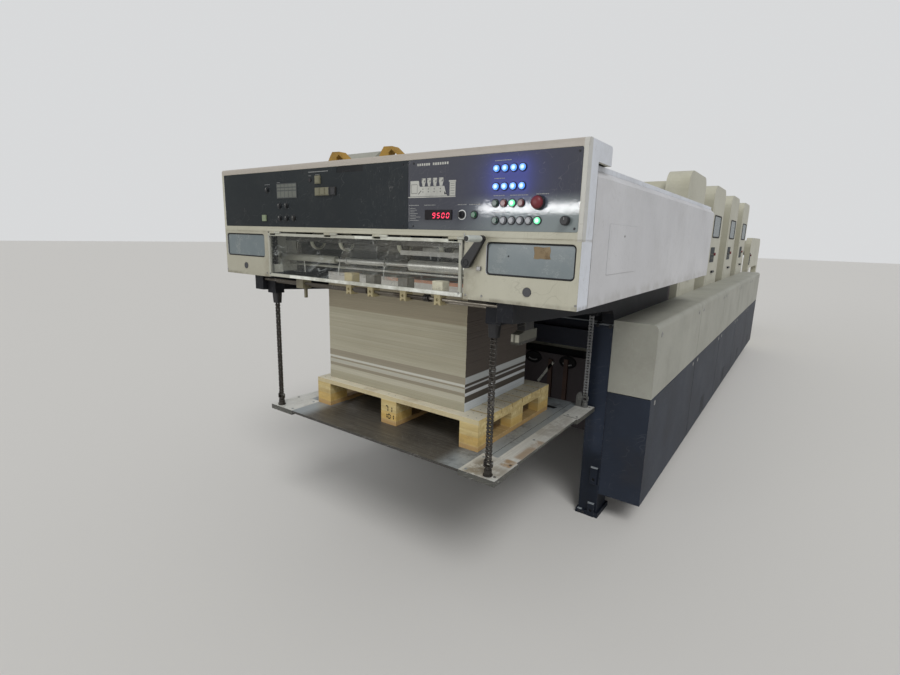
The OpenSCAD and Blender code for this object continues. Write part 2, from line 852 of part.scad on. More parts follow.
// Wooden pallet and the pile of sheets on it
pallet_x = -13;
pallet_front = pile_front - 50;
deck_t = 22;
block_h = pallet_h - 3 * deck_t;
block_w = 100;
skid_x = [pallet_x - pallet_w / 2, pallet_x - block_w / 2, pallet_x + pallet_w / 2 - block_w];

module pallet() {
    boards = 7;
    board_step = (pallet_l - 95) / (boards - 1);
    color([0.8, 0.74, 0.5]) placed() {
        for (i = [0:boards - 1])
            block([pallet_x - pallet_w / 2, pallet_front + i * board_step, board_top + pallet_h - deck_t],
                [pallet_x + pallet_w / 2, pallet_front + i * board_step + 95, board_top + pallet_h]);
        for (x = skid_x) {
            block([x, pallet_front, board_top], [x + block_w, pallet_front + pallet_l, board_top + deck_t]);
            block([x, pallet_front, board_top + deck_t + block_h],
                [x + block_w, pallet_front + pallet_l, board_top + pallet_h - deck_t]);
            for (i = [0:2]) translate([x, pallet_front + i * (pallet_l - 120) / 2, board_top + deck_t])
                cube([block_w, 120, block_h]);
        }
    }
}

module paper_pile() {
    color([0.62, 0.59, 0.52]) placed()
        block([pile_shift - sheet_w / 2, pile_front, board_top + pallet_h],
            [pile_shift + sheet_w / 2, pile_front + sheet_l, pile_top]);
}

// Printing units: beds in line, with a step at the floor, and a tower on each
toe_h = 90;
toe_in = 60;
bed_gap = 0.3;
tower_gap = (unit_pitch - tower_len) / 2;
housing_t = 170;
core_x = frame_out - housing_t;
core_in = 110;
core_top = tower_top - 60;

function unit_d(i) = units_front + i * unit_pitch;

module unit_bed(i) {
    facing(unit_d(i), unit_d(i) + unit_pitch - bed_gap) polygon([
        [toe_in - frame_out, 0], [frame_out - toe_in, 0], [frame_out - toe_in, toe_h], [frame_out, toe_h],
        [frame_out, deck_top], [-frame_out, deck_top], [-frame_out, toe_h], [toe_in - frame_out, toe_h]]);
}

module unit_beds() { color([0.15, 0.17, 0.21]) placed() for (i = [0:3]) unit_bed(i); }

// A tower: a rounded housing on each side, and between them the closed body of the cylinders
module unit_tower(i) {
    d = unit_d(i) + tower_gap;
    front_r = 140;
    rear_r = 90;
    both_sides() across(core_x, frame_out) polygon(concat([[d, deck_top]],
        arc(d + front_r, tower_top - front_r, front_r, 180, 90, 8),
        arc(d + tower_len - rear_r, tower_top - rear_r, rear_r, 90, 0, 8), [[d + tower_len, deck_top]]));
    across(-core_x, core_x) polygon([[d + 30, deck_top], [d + 30, guard_base], [d + core_in, guard_base],
        [d + core_in, core_top - 90], [d + core_in + 120, core_top], [d + tower_len - 40, core_top],
        [d + tower_len - 40, deck_top]]);
}

module unit_towers() { color([0.72, 0.71, 0.65]) placed() for (i = [0:3]) unit_tower(i); }

// Bulged guards over the blanket and plate cylinders, each with a grab bar
guard_base = deck_top + 200;
bulge_r = 220;
bulge_h = 340;
bulge_gap = 12;
grab_r = 9;
grab_half = 300;

module roller_guard(d, low) {
    half = asin(bulge_h / 2 / bulge_r);
    centre = d + bulge_r * cos(half);
    mid = low + bulge_h / 2;
    across(3 - core_x, core_x - 3) polygon(arc(centre, mid, bulge_r, 180 - half, 180 + half, 10));
    front = centre - bulge_r;
    for (x = [-grab_half, grab_half]) across(x - 8, x + 8) polygon([
        [front + 3, mid - 20], [front + 3, mid + 20], [front - 24, mid + 12], [front - 24, mid - 12]]);
    shaft(-grab_half - 40, grab_half + 40, front - 20, mid, grab_r);
}

module roller_guards() {
    color([0.5, 0.52, 0.53]) placed() for (i = [0:3], k = [0, 1])
        roller_guard(unit_d(i) + tower_gap + core_in, guard_base + 10 + k * (bulge_h + bulge_gap));
}

// Ink fountain at the top of each tower, with a row of keys
fountain_low = guard_base + 20 + 2 * (bulge_h + bulge_gap);
fountain_h = 230;
key_count = 16;

module ink_fountain(d) {
    half = core_x - 60;
    key_pitch = 2 * (half - 40) / (key_count - 1);
    across(-half, half) polygon([[d, fountain_low], [d - 60, fountain_low + 40], [d - 90, fountain_low + 110],
        [d - 30, fountain_low + fountain_h], [d, fountain_low + fountain_h]]);
    for (i = [0:key_count - 1]) translate([40 - half + i * key_pitch, d - 66, fountain_low + 70])
        rotate([115, 0, 0]) cylinder(h = 26, r = 7);
}

module ink_fountains() {
    color([0.35, 0.36, 0.38]) placed() for (i = [0:3]) ink_fountain(unit_d(i) + tower_gap + core_in);
}

// Tread plates on the beds between the towers
tread_t = 12;

module footboards() {
    color([0.4, 0.41, 0.42]) placed() for (i = [1:4])
        block([-frame_out, unit_d(i) - tower_gap + 10, deck_top],
            [frame_out, min(unit_d(i) + tower_gap - 10, units_rear), deck_top + tread_t]);
}

// Feeder: frames over the feed pile, the suction head and the sloping feed board
feeder_w = 1500;
feeder_frame_t = 80;
feeder_in = feeder_w / 2 - feeder_frame_t;
feed_low = 850;
feed_high = 1050;
feed_board_t = 60;
post_len = 200;
bar_z = feeder_top - 240;
bar_r = 20;
bar_d = [feeder_front + 420, feeder_front + 700];
feeder_r = 150;
arch_top = feeder_top - 500;
tape_x = [-480, -240, 0, 240, 480];

module feeder_side() {
    across(feeder_in, feeder_w / 2) difference() {
        polygon(concat(
            [[units_rear, 0], [units_rear, feed_low], [feeder_front, feed_high]],
            arc(feeder_front + feeder_r, feeder_top - feeder_r, feeder_r, 180, 90),
            arc(press_rear - feeder_r, feeder_top - feeder_r, feeder_r, 90, 0), [[press_rear, 0]]));
        polygon(round_rect(feeder_front + post_len, -100, press_rear - post_len, arch_top, 80));
    }
}

module feeder_frame() {
    color([0.72, 0.71, 0.65]) placed() {
        both_sides() feeder_side();
        block([-feeder_in, press_rear - post_len, feeder_top - 300],
            [feeder_in, press_rear, feeder_top - 40]);
        block([-feeder_in, feeder_front, 0], [feeder_in, feeder_front + post_len, feed_high - 40]);
        for (d = bar_d) shaft(-feeder_in, feeder_in, d, bar_z, bar_r);
    }
}

// Suction head on the two bars, with its lifting suckers
head_half = 350;
head_h = 150;
sucker_low = bar_z - 330;

module feeder_head() {
    color([0.3, 0.31, 0.32]) placed() difference() {
        union() {
            across(-head_half, head_half) polygon(concat(
                [[bar_d[0] - 120, bar_z - head_h], [bar_d[0] - 120, bar_z]],
                arc(bar_d[0] - 60, bar_z, 60, 180, 90), arc(bar_d[1] + 40, bar_z, 60, 90, 0),
                [[bar_d[1] + 100, bar_z - head_h]]));
            for (x = [-240, -80, 80, 240]) translate([x, bar_d[0] + 140, sucker_low]) {
                cylinder(h = bar_z - head_h - sucker_low + 10, r = 12);
                cylinder(h = 12, r = 22);
            }
        }
        for (d = bar_d) shaft(-head_half - 1, head_half + 1, d, bar_z, bar_r);
    }
}

// Sloping feed board with tapes in its top
module feed_board() {
    half = feeder_in + 30;
    color([0.6, 0.6, 0.58]) placed() difference() {
        across(-half, half) polygon([[units_rear, feed_low], [units_rear, feed_low + feed_board_t],
            [feeder_front, feed_high + feed_board_t], [feeder_front, feed_high]]);
        for (x = tape_x) for (s = [x - 22, x + 20]) across(s, s + 2) translate([0, feed_board_t - 4])
            polygon([[units_rear - 1, feed_low], [units_rear - 1, feed_low + 13],
                [feeder_front + 1, feed_high + 13], [feeder_front + 1, feed_high]]);
    }
}

// Board for the feed pile, hung on four chains from brackets on the frame
hanger_x = feeder_in - 100;
hanger_d = [feeder_front + post_len + 70, press_rear - post_len - 70];
hanger_top = bar_z - 50;
feed_pile_low = 100;
feed_pile_t = 30;

module feeder_board() {
    color([0.5, 0.48, 0.45]) placed() {
        block([-hanger_x - 30, feeder_front + post_len + 20, feed_pile_low],
            [hanger_x + 30, press_rear - post_len - 20, feed_pile_low + feed_pile_t]);
        both_sides() for (d = hanger_d) {
            translate([hanger_x, d, feed_pile_low + 1]) cylinder(h = hanger_top - feed_pile_low, r = 8);
            block([hanger_x - 30, d - 25, hanger_top], [feeder_in, d + 25, hanger_top + 30]);
        }
    }
}

side_frames();
column_feet();
cross_beams();
chain_guides();
limit_switch();
console_housing();
console_panels();
push_buttons();
speed_display();
panel_modules();
stop_button();
speed_knob();
key_selector();
cheek_panels();
cheek_windows();
hole_plugs();
guard_rail();
guard_frame();
guard_pane();
crank_boss();
crank_arm();
crank_grip();
jogger_shafts();
jogger_clevises();
guide_tubes();
deflectors();
sheet_wheels();
side_covers();
hood_roof();
roof_cowl();
lifting_clamps();
lower_side_covers();
upper_side_covers();
chain_housing();
pile_board();
board_ends();
chain_sockets();
hoist_chains();
pallet();
paper_pile();
unit_beds();
unit_towers();
ink_fountains();
roller_guards();
footboards();
feeder_frame();
feeder_head();
feed_board();
feeder_board();
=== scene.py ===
# Sheet-fed offset printing press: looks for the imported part, seen from the delivery's front right.
# X runs across the press, Y along it, Z up. Lengths in the tables are millimetres, with depths counted
# from the console's front face and heights from the floor. Colours of three numbers are sRGB, 0 to 255.
import json
import math

import bpy
import numpy as np
from mathutils import Matrix, Vector


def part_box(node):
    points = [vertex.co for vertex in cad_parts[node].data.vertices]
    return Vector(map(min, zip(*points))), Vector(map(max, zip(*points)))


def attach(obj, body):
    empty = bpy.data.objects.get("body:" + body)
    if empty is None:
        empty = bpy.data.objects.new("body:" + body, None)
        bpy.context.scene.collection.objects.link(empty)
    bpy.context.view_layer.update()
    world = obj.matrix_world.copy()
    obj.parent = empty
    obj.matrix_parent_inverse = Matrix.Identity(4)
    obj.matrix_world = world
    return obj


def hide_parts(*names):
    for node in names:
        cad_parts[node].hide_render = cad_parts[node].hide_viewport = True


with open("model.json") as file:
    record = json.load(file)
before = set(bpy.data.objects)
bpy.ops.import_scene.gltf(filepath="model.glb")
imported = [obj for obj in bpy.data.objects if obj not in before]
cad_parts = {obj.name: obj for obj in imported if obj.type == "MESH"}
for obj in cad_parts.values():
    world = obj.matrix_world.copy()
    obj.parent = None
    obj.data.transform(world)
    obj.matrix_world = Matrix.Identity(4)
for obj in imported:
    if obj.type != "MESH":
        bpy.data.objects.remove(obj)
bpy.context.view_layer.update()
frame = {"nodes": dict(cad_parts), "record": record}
nodes = frame["nodes"]
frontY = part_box("console_housing")[0].y
print("frame loaded:", len(nodes), "nodes")


# Millimetres [x, depth, height] to metres in the press frame: scale by 1/1000, then add the front's Y
def place(points):
    return np.asarray(points, float) / 1000 + np.array([0, frontY, 0])


# sRGB 0-255 to linear: c/12.92 below 0.04045, else ((c + 0.055) / 1.055) ^ 2.4
def paint(r, g, b):
    srgb = np.array([r, g, b]) / 255
    return (*np.where(srgb <= 0.04045, srgb / 12.92, ((srgb + 0.055) / 1.055) ** 2.4), 1.0)


# Fills a node's inputs: a socket is linked, three numbers for a colour are sRGB, the rest is set
def feed(tree, node, inputs):
    for key, value in inputs.items():
        if isinstance(value, bpy.types.NodeSocket):
            tree.links.new(value, node.inputs[key])
        else:
            isPaint = node.inputs[key].type == "RGBA" and len(value) == 3
            node.inputs[key].default_value = paint(*value) if isPaint else value
    return node


# Shader building: one call per node
def put(tree, kind, inputs=None, **settings):
    made = tree.nodes.new("ShaderNode" + kind)
    for key, value in settings.items():
        setattr(made, key, value)
    return feed(tree, made, inputs or {})


def calc(tree, operation, a, b=0.0, clamp=False):
    return put(tree, "Math", {0: a, 1: b}, operation=operation, use_clamp=clamp).outputs[0]


def times(tree, *factors):
    total = factors[0]
    for factor in factors[1:]:
        total = calc(tree, "MULTIPLY", total, factor)
    return total


def mix(tree, factor, a, b):
    return put(tree, "Mix", {0: factor, 6: a, 7: b}, data_type="RGBA").outputs[2]


# Maps value from the range low..high to start..end, eased at both ends
def ramp(tree, value, low, high, start=0.0, end=1.0):
    inputs = {"Value": value, "From Min": low, "From Max": high, "To Min": start, "To Max": end}
    return put(tree, "MapRange", inputs, interpolation_type="SMOOTHSTEP").outputs[0]


# The same over a span given in millimetres
def across(tree, part, span, start=0.0, end=1.0):
    return ramp(tree, part, span[0] / 1000, span[1] / 1000, start, end)


def noise(tree, vector, scale, detail=4.0, roughness=0.55, stretch=(1, 1, 1)):
    stretched = put(tree, "Mapping", {"Vector": vector, "Scale": stretch}).outputs[0]
    inputs = {"Vector": stretched, "Scale": scale, "Detail": detail, "Roughness": roughness}
    return put(tree, "TexNoise", inputs).outputs["Fac"]


# 1 inside spans of x, depth and height, falling to 0 over soft at their ends: the product of their ramps
def within(tree, split, spans, soft):
    edge = soft / 1000
    ramps = []
    for part, span, start in zip(split, spans, (0, frontY, 0)):
        if span:
            low, high = (start + end / 1000 for end in span)
            ramps.append(ramp(tree, part, low - edge, low + edge))
            ramps.append(ramp(tree, part, high - edge, high + edge, 1.0, 0.0))
    return times(tree, *ramps)


# Lays tints over a colour. A row holds its x, depth and height spans, its tint, how strong it is and
# how soft its edge is; a ragged mask breaks the tint up
def tinted(tree, split, color, rows, ragged=1.0):
    for *spans, tint, amount, soft in rows:
        color = mix(tree, times(tree, within(tree, split, spans, soft), ragged, amount), color, tint)
    return color


# How far a face looks along one axis: that part of its normal, or its size, eased from low to high
def looking(tree, axis, sign=0, low=0.5, high=0.8):
    normal = put(tree, "SeparateXYZ", {0: put(tree, "NewGeometry").outputs["Normal"]}).outputs[axis]
    normal = calc(tree, "MULTIPLY", normal, sign) if sign else calc(tree, "ABSOLUTE", normal)
    return ramp(tree, normal, low, high)


# A shader node group: build takes its tree, its Vector and its numbers, and gives its outputs by name
def newGroup(name, build, **numbers):
    group = bpy.data.node_groups.new(name, "ShaderNodeTree")
    group.interface.new_socket("Vector", in_out="INPUT", socket_type="NodeSocketVector")
    for label, value in numbers.items():
        group.interface.new_socket(label, in_out="INPUT", socket_type="NodeSocketFloat").default_value = value
    results = build(group, *list(group.nodes.new("NodeGroupInput").outputs)[:len(numbers) + 1])
    for label in results:
        kind = "NodeSocketVector" if label == "Normal" else "NodeSocketFloat"
        group.interface.new_socket(label, in_out="OUTPUT", socket_type=kind)
    feed(group, group.nodes.new("NodeGroupOutput"), results)
    return group


# Edge wear: where the bevelled normal leans away from the face's own normal there is an edge;
# noise breaks it up into chips. Normal is the bevelled normal, which softens the edge's highlight
def edgeWear(tree, vector, radius, amount):
    bevel = put(tree, "Bevel", {"Radius": radius}, samples=4).outputs[0]
    flat = put(tree, "NewGeometry").outputs["Normal"]
    lean = put(tree, "VectorMath", {0: bevel, 1: flat}, operation="DOT_PRODUCT").outputs["Value"]
    edge = ramp(tree, calc(tree, "SUBTRACT", 1.0, lean), 0.02, 0.2)
    chips = ramp(tree, noise(tree, vector, 38, 6, 0.7), 0.42, 0.62)
    return {"Mask": times(tree, edge, chips, amount), "Normal": bevel}


# Grime: fractal noise above a threshold, with fine speckle in it
def grime(tree, vector, scale, amount):
    broad = noise(tree, vector, scale, 6, 0.62)
    fine = noise(tree, vector, times(tree, scale, 14.0), 3, 0.7)
    tone = calc(tree, "ADD", times(tree, broad, 0.75), times(tree, fine, 0.25))
    return {"Mask": times(tree, ramp(tree, tone, 0.46, 0.68), amount), "Tone": tone}


# Scratches: thin lines along the level 0.5 of long stretched noises at three angles
def scratches(tree, vector, scale, width):
    total = 0.0
    for turn, stretch in ((0.5, (1, 1, 9)), (-0.9, (9, 1, 1)), (0.2, (1, 8, 1))):
        rotation = (turn, turn * 0.7, turn * 0.5)
        turnedVector = put(tree, "Mapping", {"Vector": vector, "Rotation": rotation}).outputs[0]
        field = noise(tree, turnedVector, scale, 2, 0.5, stretch)
        distance = calc(tree, "ABSOLUTE", calc(tree, "SUBTRACT", field, 0.5))
        gate = ramp(tree, noise(tree, turnedVector, 5.0, 2), 0.5, 0.62)
        total = calc(tree, "MAXIMUM", total, times(tree, calc(tree, "LESS_THAN", distance, width), gate))
    return {"Mask": total}


# Paint film: very fine orange peel for height, broad variation for tone
def paintFilm(tree, vector, scale):
    return {"Height": noise(tree, vector, scale, 2, 0.5), "Tone": noise(tree, vector, 2.2, 5, 0.6)}


# Wood grain along X: noise stretched 1:20 for fibre, plus warped bands for the growth rings
def woodGrain(tree, vector):
    warp = times(tree, noise(tree, vector, 3.0, 3, 0.5, (0.35, 1, 1)), 9.0)
    inputs = {"Vector": vector, "Scale": 9.0, "Distortion": warp, "Detail": 3.0, "Detail Scale": 1.2}
    bands = put(tree, "TexWave", inputs, bands_direction="Z").outputs["Fac"]
    return {"Rings": bands, "Fibre": noise(tree, vector, 60.0, 5, 0.7, (0.05, 1, 1))}


# Cut sheet edges: noise that changes only with height, fine for single sheets and broad for batches
def sheetEdges(tree, vector):
    return {"Fine": noise(tree, vector, 900.0, 2, 0.6, (0.002, 0.002, 1)),
            "Broad": noise(tree, vector, 34.0, 4, 0.6, (0.02, 0.02, 1))}


effects = {"edgeWear": newGroup("edgeWear", edgeWear, Radius=0.002, Amount=0.5),
           "grime": newGroup("grime", grime, Scale=3.0, Amount=0.5),
           "scratches": newGroup("scratches", scratches, Scale=6.0, Width=0.01),
           "paintFilm": newGroup("paintFilm", paintFilm, Scale=400.0),
           "woodGrain": newGroup("woodGrain", woodGrain),
           "sheetEdges": newGroup("sheetEdges", sheetEdges)}


def use(tree, name, vector, **inputs):
    made = tree.nodes.new("ShaderNodeGroup")
    made.node_tree = effects[name]
    return feed(tree, made, dict(inputs, Vector=vector)).outputs


# A material with its Principled shader, object coordinates and those coordinates split in x, y, z
def newMaterial(name, **plain):
    material = bpy.data.materials.new(name)
    material.use_nodes = True
    tree = material.node_tree
    tree.nodes.clear()
    shader = put(tree, "BsdfPrincipled", {key.replace("_", " "): value for key, value in plain.items()})
    put(tree, "OutputMaterial", {0: shader.outputs[0]})
    vector = put(tree, "TexCoord").outputs["Object"]
    return material, tree, shader, vector, put(tree, "SeparateXYZ", {0: vector}).outputs


def bump(tree, height, strength, distance, **normal):
    inputs = {"Height": height, "Strength": strength, "Distance": distance}
    return put(tree, "Bump", dict(inputs, **normal)).outputs[0]


# Painted sheet metal or castings: base and shade by broad tone, grime, chipped edges, thin film bump; side
# and under tints are painted light and shade
paintUsual = {"specular": 0.5, "peel": 420.0, "grimeScale": 3.0, "edge": 0.0025, "scratch": 0.25,
              "bumpStrength": 0.12, "areas": [], "zones": []}


def paintedMetal(name, look):
    look = dict(paintUsual, **look)
    material, tree, shader, vector, split = newMaterial(name, IOR=1.5, Specular_IOR_Level=look["specular"])
    film = use(tree, "paintFilm", vector, Scale=look["peel"])
    dirt = use(tree, "grime", vector, Scale=look["grimeScale"], Amount=look["grime"])
    wear = use(tree, "edgeWear", vector, Radius=look["edge"], Amount=look["wear"])
    marks = use(tree, "scratches", vector, Scale=5.0, Width=0.004)
    color = mix(tree, ramp(tree, film["Tone"], 0.3, 0.7), look["color"], look["shade"])
    # Faces turned sideways or downwards take their own tint: painted light and shade by how the face is
    # turned
    if "side" in look:
        color = mix(tree, looking(tree, 0), color, look["side"])
    if "under" in look:
        color = mix(tree, looking(tree, 2, -1), color, look["under"])
    color = tinted(tree, split, color, look["areas"])
    ragged = ramp(tree, noise(tree, vector, 9.0, 5, 0.65), 0.35, 0.65)
    color = tinted(tree, split, color, look["zones"], ragged)
    color = mix(tree, dirt["Mask"], color, look["dirt"])
    color = mix(tree, times(tree, marks["Mask"], look["scratch"]), color, look["bare"])
    color = mix(tree, wear["Mask"], color, look["bare"])
    rough = calc(tree, "ADD", look["rough"], times(tree, dirt["Tone"], 0.25))
    rough = calc(tree, "SUBTRACT", rough, times(tree, wear["Mask"], 0.15), clamp=True)
    height = calc(tree, "SUBTRACT", film["Height"], times(tree, wear["Mask"], 1.5))
    normal = bump(tree, height, look["bumpStrength"], 0.0006, Normal=wear["Normal"])
    feed(tree, shader, {"Base Color": color, "Roughness": rough, "Normal": normal})
    return material


# Bare metal: brushed streaks along one axis, darker oil stains, worn bright edges, and matte zones; darker
# upright faces are painted shade
metalUsual = {"stretch": (0.04, 1, 1), "streakScale": 260.0, "grimeScale": 4.0, "edge": 0.0015,
              "bumpStrength": 0.1, "areas": [], "zones": [], "matte": []}


def bareMetal(name, look):
    look = dict(metalUsual, **look)
    material, tree, shader, vector, split = newMaterial(name)
    streaks = noise(tree, vector, look["streakScale"], 4, 0.7, look["stretch"])
    dirt = use(tree, "grime", vector, Scale=look["grimeScale"], Amount=look["grime"])
    wear = use(tree, "edgeWear", vector, Radius=look["edge"], Amount=look["wear"])
    marks = use(tree, "scratches", vector, Scale=7.0, Width=0.006)
    color = mix(tree, ramp(tree, streaks, 0.3, 0.7), look["color"], look["shade"])
    color = tinted(tree, split, color, look["areas"])
    ragged = ramp(tree, noise(tree, vector, 13.0, 5, 0.7), 0.38, 0.56)
    color = tinted(tree, split, color, look["zones"], ragged)
    # Upright faces take the walls colour: painted shade, the upward faces staying lighter
    if "walls" in look:
        color = mix(tree, looking(tree, 2), look["walls"], color)
    color = mix(tree, dirt["Mask"], color, look["dirt"])
    color = mix(tree, times(tree, marks["Mask"], 0.4), color, look["bare"])
    color = mix(tree, wear["Mask"], color, look["bare"])
    metal = calc(tree, "SUBTRACT", look["metal"], times(tree, dirt["Mask"], look["metal"]), clamp=True)
    rough = calc(tree, "ADD", look["rough"], times(tree, streaks, 0.25), clamp=True)
    for *spans, soft in look["matte"]:
        dull = within(tree, split, spans, soft)
        metal = times(tree, metal, calc(tree, "SUBTRACT", 1.0, dull))
        rough = calc(tree, "ADD", rough, times(tree, dull, 0.3), clamp=True)
    normal = bump(tree, streaks, look["bumpStrength"], 0.0004, Normal=wear["Normal"])
    feed(tree, shader, {"Base Color": color, "Metallic": metal, "Roughness": rough, "Normal": normal})
    return material


# Moulded plastic: fine texture, dust in the broad noise, softened edges; a hub is dark round an axis
# along x, given by its depth, height, radius and tint
def mouldedPlastic(name, look):
    specular = look.get("specular", 0.5)
    material, tree, shader, vector, split = newMaterial(name, IOR=1.46, Specular_IOR_Level=specular)
    film = use(tree, "paintFilm", vector, Scale=900.0)
    dirt = use(tree, "grime", vector, Scale=14.0, Amount=look.get("grime", 0.3))
    wear = use(tree, "edgeWear", vector, Radius=0.0012, Amount=0.3)
    color = mix(tree, ramp(tree, film["Tone"], 0.3, 0.7), look["color"], look["shade"])
    color = tinted(tree, split, color, look.get("zones", []))
    if "hub" in look:
        depth, height, radius, tint = look["hub"]
        away = put(tree, "CombineXYZ", {0: calc(tree, "SUBTRACT", split[1], frontY + depth / 1000),
                                        1: calc(tree, "SUBTRACT", split[2], height / 1000)}).outputs[0]
        reach = put(tree, "VectorMath", {0: away}, operation="LENGTH").outputs["Value"]
        hub = ramp(tree, reach, radius / 1000 - 0.001, radius / 1000 + 0.001, 1.0, 0.0)
        color = mix(tree, hub, color, tint)
    color = mix(tree, dirt["Mask"], color, look["dirt"])
    color = mix(tree, wear["Mask"], color, look["shade"])
    rough = calc(tree, "ADD", look["rough"], times(tree, dirt["Tone"], 0.2), clamp=True)
    normal = bump(tree, film["Height"], 0.08, 0.0003, Normal=wear["Normal"])
    feed(tree, shader, {"Base Color": color, "Roughness": rough, "Normal": normal})
    return material


# Clear acrylic: scratches and dust lift the alpha, so the sheet shows where it is worn; its cut edges turn
# pale and opaque, a painted highlight
def clearAcrylic(name, look):
    material, tree, shader, vector, _ = newMaterial(name, IOR=1.49)
    marks = use(tree, "scratches", vector, Scale=look["scratchScale"], Width=0.005)
    dirt = use(tree, "grime", vector, Scale=look["grimeScale"], Amount=1.0)
    rim = use(tree, "edgeWear", vector, Radius=look["edge"], Amount=1.0)
    color = mix(tree, dirt["Mask"], look["color"], look["dirt"])
    color = mix(tree, rim["Mask"], color, look["rim"])
    veil = times(tree, dirt["Mask"], look["haze"])
    lines = times(tree, marks["Mask"], look["scratch"])
    alpha = calc(tree, "ADD", look["alpha"], calc(tree, "ADD", veil, lines), clamp=True)
    alpha = calc(tree, "MAXIMUM", alpha, times(tree, rim["Mask"], look["rimAlpha"]))
    rough = calc(tree, "ADD", look["rough"], times(tree, marks["Mask"], 0.3), clamp=True)
    feed(tree, shader, {"Base Color": color, "Alpha": alpha, "Roughness": rough})
    return material


# Red digits: an emission that varies a little with fine noise
def litDigits(name, look):
    material, tree, shader, vector, _ = newMaterial(name, Roughness=0.3, Emission_Strength=look["strength"])
    shade = mix(tree, ramp(tree, noise(tree, vector, 300.0), 0.3, 0.7), look["glow"], look["dim"])
    feed(tree, shader, {"Base Color": shade, "Emission Color": shade})
    return material


# Console panels: slate on the left, bluish dark grey on the right with a pebbled, half-bright sheen
def consolePanel(name, look):
    material, tree, shader, vector, split = newMaterial(name, IOR=1.5, Specular_IOR_Level=0.22,
                                                        Emission_Strength=0.62)
    film = use(tree, "paintFilm", vector, Scale=150.0)
    dirt = use(tree, "grime", vector, Scale=5.0, Amount=0.25)
    marks = use(tree, "scratches", vector, Scale=9.0, Width=0.003)
    tone = ramp(tree, film["Tone"], 0.3, 0.7)
    seam = look["seam"] / 1000
    right = ramp(tree, split[0], seam - 0.0005, seam + 0.0005)
    left = mix(tree, tone, look["slate"], look["slateShade"])
    left = mix(tree, within(tree, split, look["pocketSpans"], 0.6), left, look["pocket"])
    grey = mix(tree, tone, look["grey"], look["greyShade"])
    # The right panel pales downwards and towards its outer end: a painted reflection
    paintedSheen = times(tree, across(tree, split[0], look["sheenX"]), across(tree, split[2], look["sheenZ"]), 0.85)
    grey = mix(tree, paintedSheen, grey, look["pale"])
    grey = mix(tree, across(tree, split[2], look["sheenFootZ"], 0.0, 0.15), grey, look["pale"])
    color = mix(tree, right, left, grey)
    color = mix(tree, times(tree, dirt["Mask"], 0.3), color, look["dirt"])
    color = mix(tree, times(tree, marks["Mask"], 0.2), color, look["scratch"])
    # Painted glow of the lit buttons on the panel: 1 / (1 + 1500 (distance to the row) ^ 2), the distance
    # counted past its ends
    total = 0.0
    for row in look["rows"]:
        low, high, middle = (value / 1000 for value in row)
        before, after = calc(tree, "SUBTRACT", low, split[0]), calc(tree, "SUBTRACT", split[0], high)
        over = calc(tree, "MAXIMUM", calc(tree, "MAXIMUM", before, after), 0.0)
        rise = calc(tree, "SUBTRACT", split[2], middle)
        square = calc(tree, "ADD", times(tree, over, over), times(tree, rise, rise))
        fade = calc(tree, "DIVIDE", 1.0, calc(tree, "ADD", 1.0, times(tree, square, 1500.0)))
        total = calc(tree, "ADD", total, fade)
    lit = calc(tree, "MULTIPLY", total, 0.55, clamp=True)
    rough = calc(tree, "ADD", ramp(tree, right, 0.0, 1.0, 0.5, 0.03), times(tree, film["Height"], 0.04))
    feed(tree, shader, {"Base Color": color, "Roughness": rough,
                        "Emission Color": mix(tree, lit, (0, 0, 0, 1), look["glow"]),
                        "Normal": bump(tree, film["Height"], 0.2, 0.00035)})
    return material


# Push buttons: each cap's colour follows its place in the grid; lit ones glow brightest at the middle
def buttonCaps(name, look):
    material, tree, shader, vector, split = newMaterial(name, IOR=1.46, Roughness=0.22,
                                                        Emission_Strength=1.6)
    wear = use(tree, "edgeWear", vector, Radius=0.0015, Amount=0.1)

    # 1 inside the radius round a button's middle, 0 outside
    def spot(x, z, radius, soft):
        dx = calc(tree, "SUBTRACT", split[0], x / 1000)
        dz = calc(tree, "SUBTRACT", split[2], z / 1000)
        reach = calc(tree, "SQRT", calc(tree, "ADD", times(tree, dx, dx), times(tree, dz, dz)))
        return ramp(tree, reach, (radius - soft) / 1000, (radius + soft) / 1000, 1.0, 0.0)

    color, emission = look["off"], (0, 0, 0, 1)
    for x, z, cap in look["caps"]:
        color = mix(tree, spot(x, z, 15, 0.5), color, cap)
    for places, rim, core in look["lit"]:
        for x, z in places:
            emission = mix(tree, spot(x, z, 10.5, 1.5), emission, rim)
            emission = mix(tree, spot(x + 1.5, z, 4.5, 4), emission, core)
    feed(tree, shader, {"Base Color": color, "Emission Color": emission, "Normal": wear["Normal"]})
    return material


# Rough sawn pine: rings and fibre along the board, browner in the blocks, paler and greyer on the deck as
# painted light
def sawnPine(name, look):
    material, tree, shader, vector, split = newMaterial(name, Roughness=0.72)
    grain = use(tree, "woodGrain", vector)
    dirt = use(tree, "grime", vector, Scale=6.0, Amount=0.45)
    wear = use(tree, "edgeWear", vector, Radius=0.003, Amount=0.8)
    color = mix(tree, grain["Rings"], look["color"], look["shade"])
    color = mix(tree, ramp(tree, grain["Fibre"], 0.35, 0.7), color, look["fibre"])
    color = tinted(tree, split, color, look["zones"])
    # The deck's flat faces turn paler and greyer: painted light where the pile shades them
    deck = times(tree, looking(tree, 2), across(tree, split[2], look["deckZ"]), 0.85)
    color = mix(tree, deck, color, look["deck"])
    color = mix(tree, dirt["Mask"], color, look["dirt"])
    color = mix(tree, wear["Mask"], color, look["bare"])
    height = calc(tree, "ADD", grain["Fibre"], times(tree, grain["Rings"], 0.3))
    normal = bump(tree, height, 0.5, 0.0012, Normal=wear["Normal"])
    feed(tree, shader, {"Base Color": color, "Normal": normal})
    return material


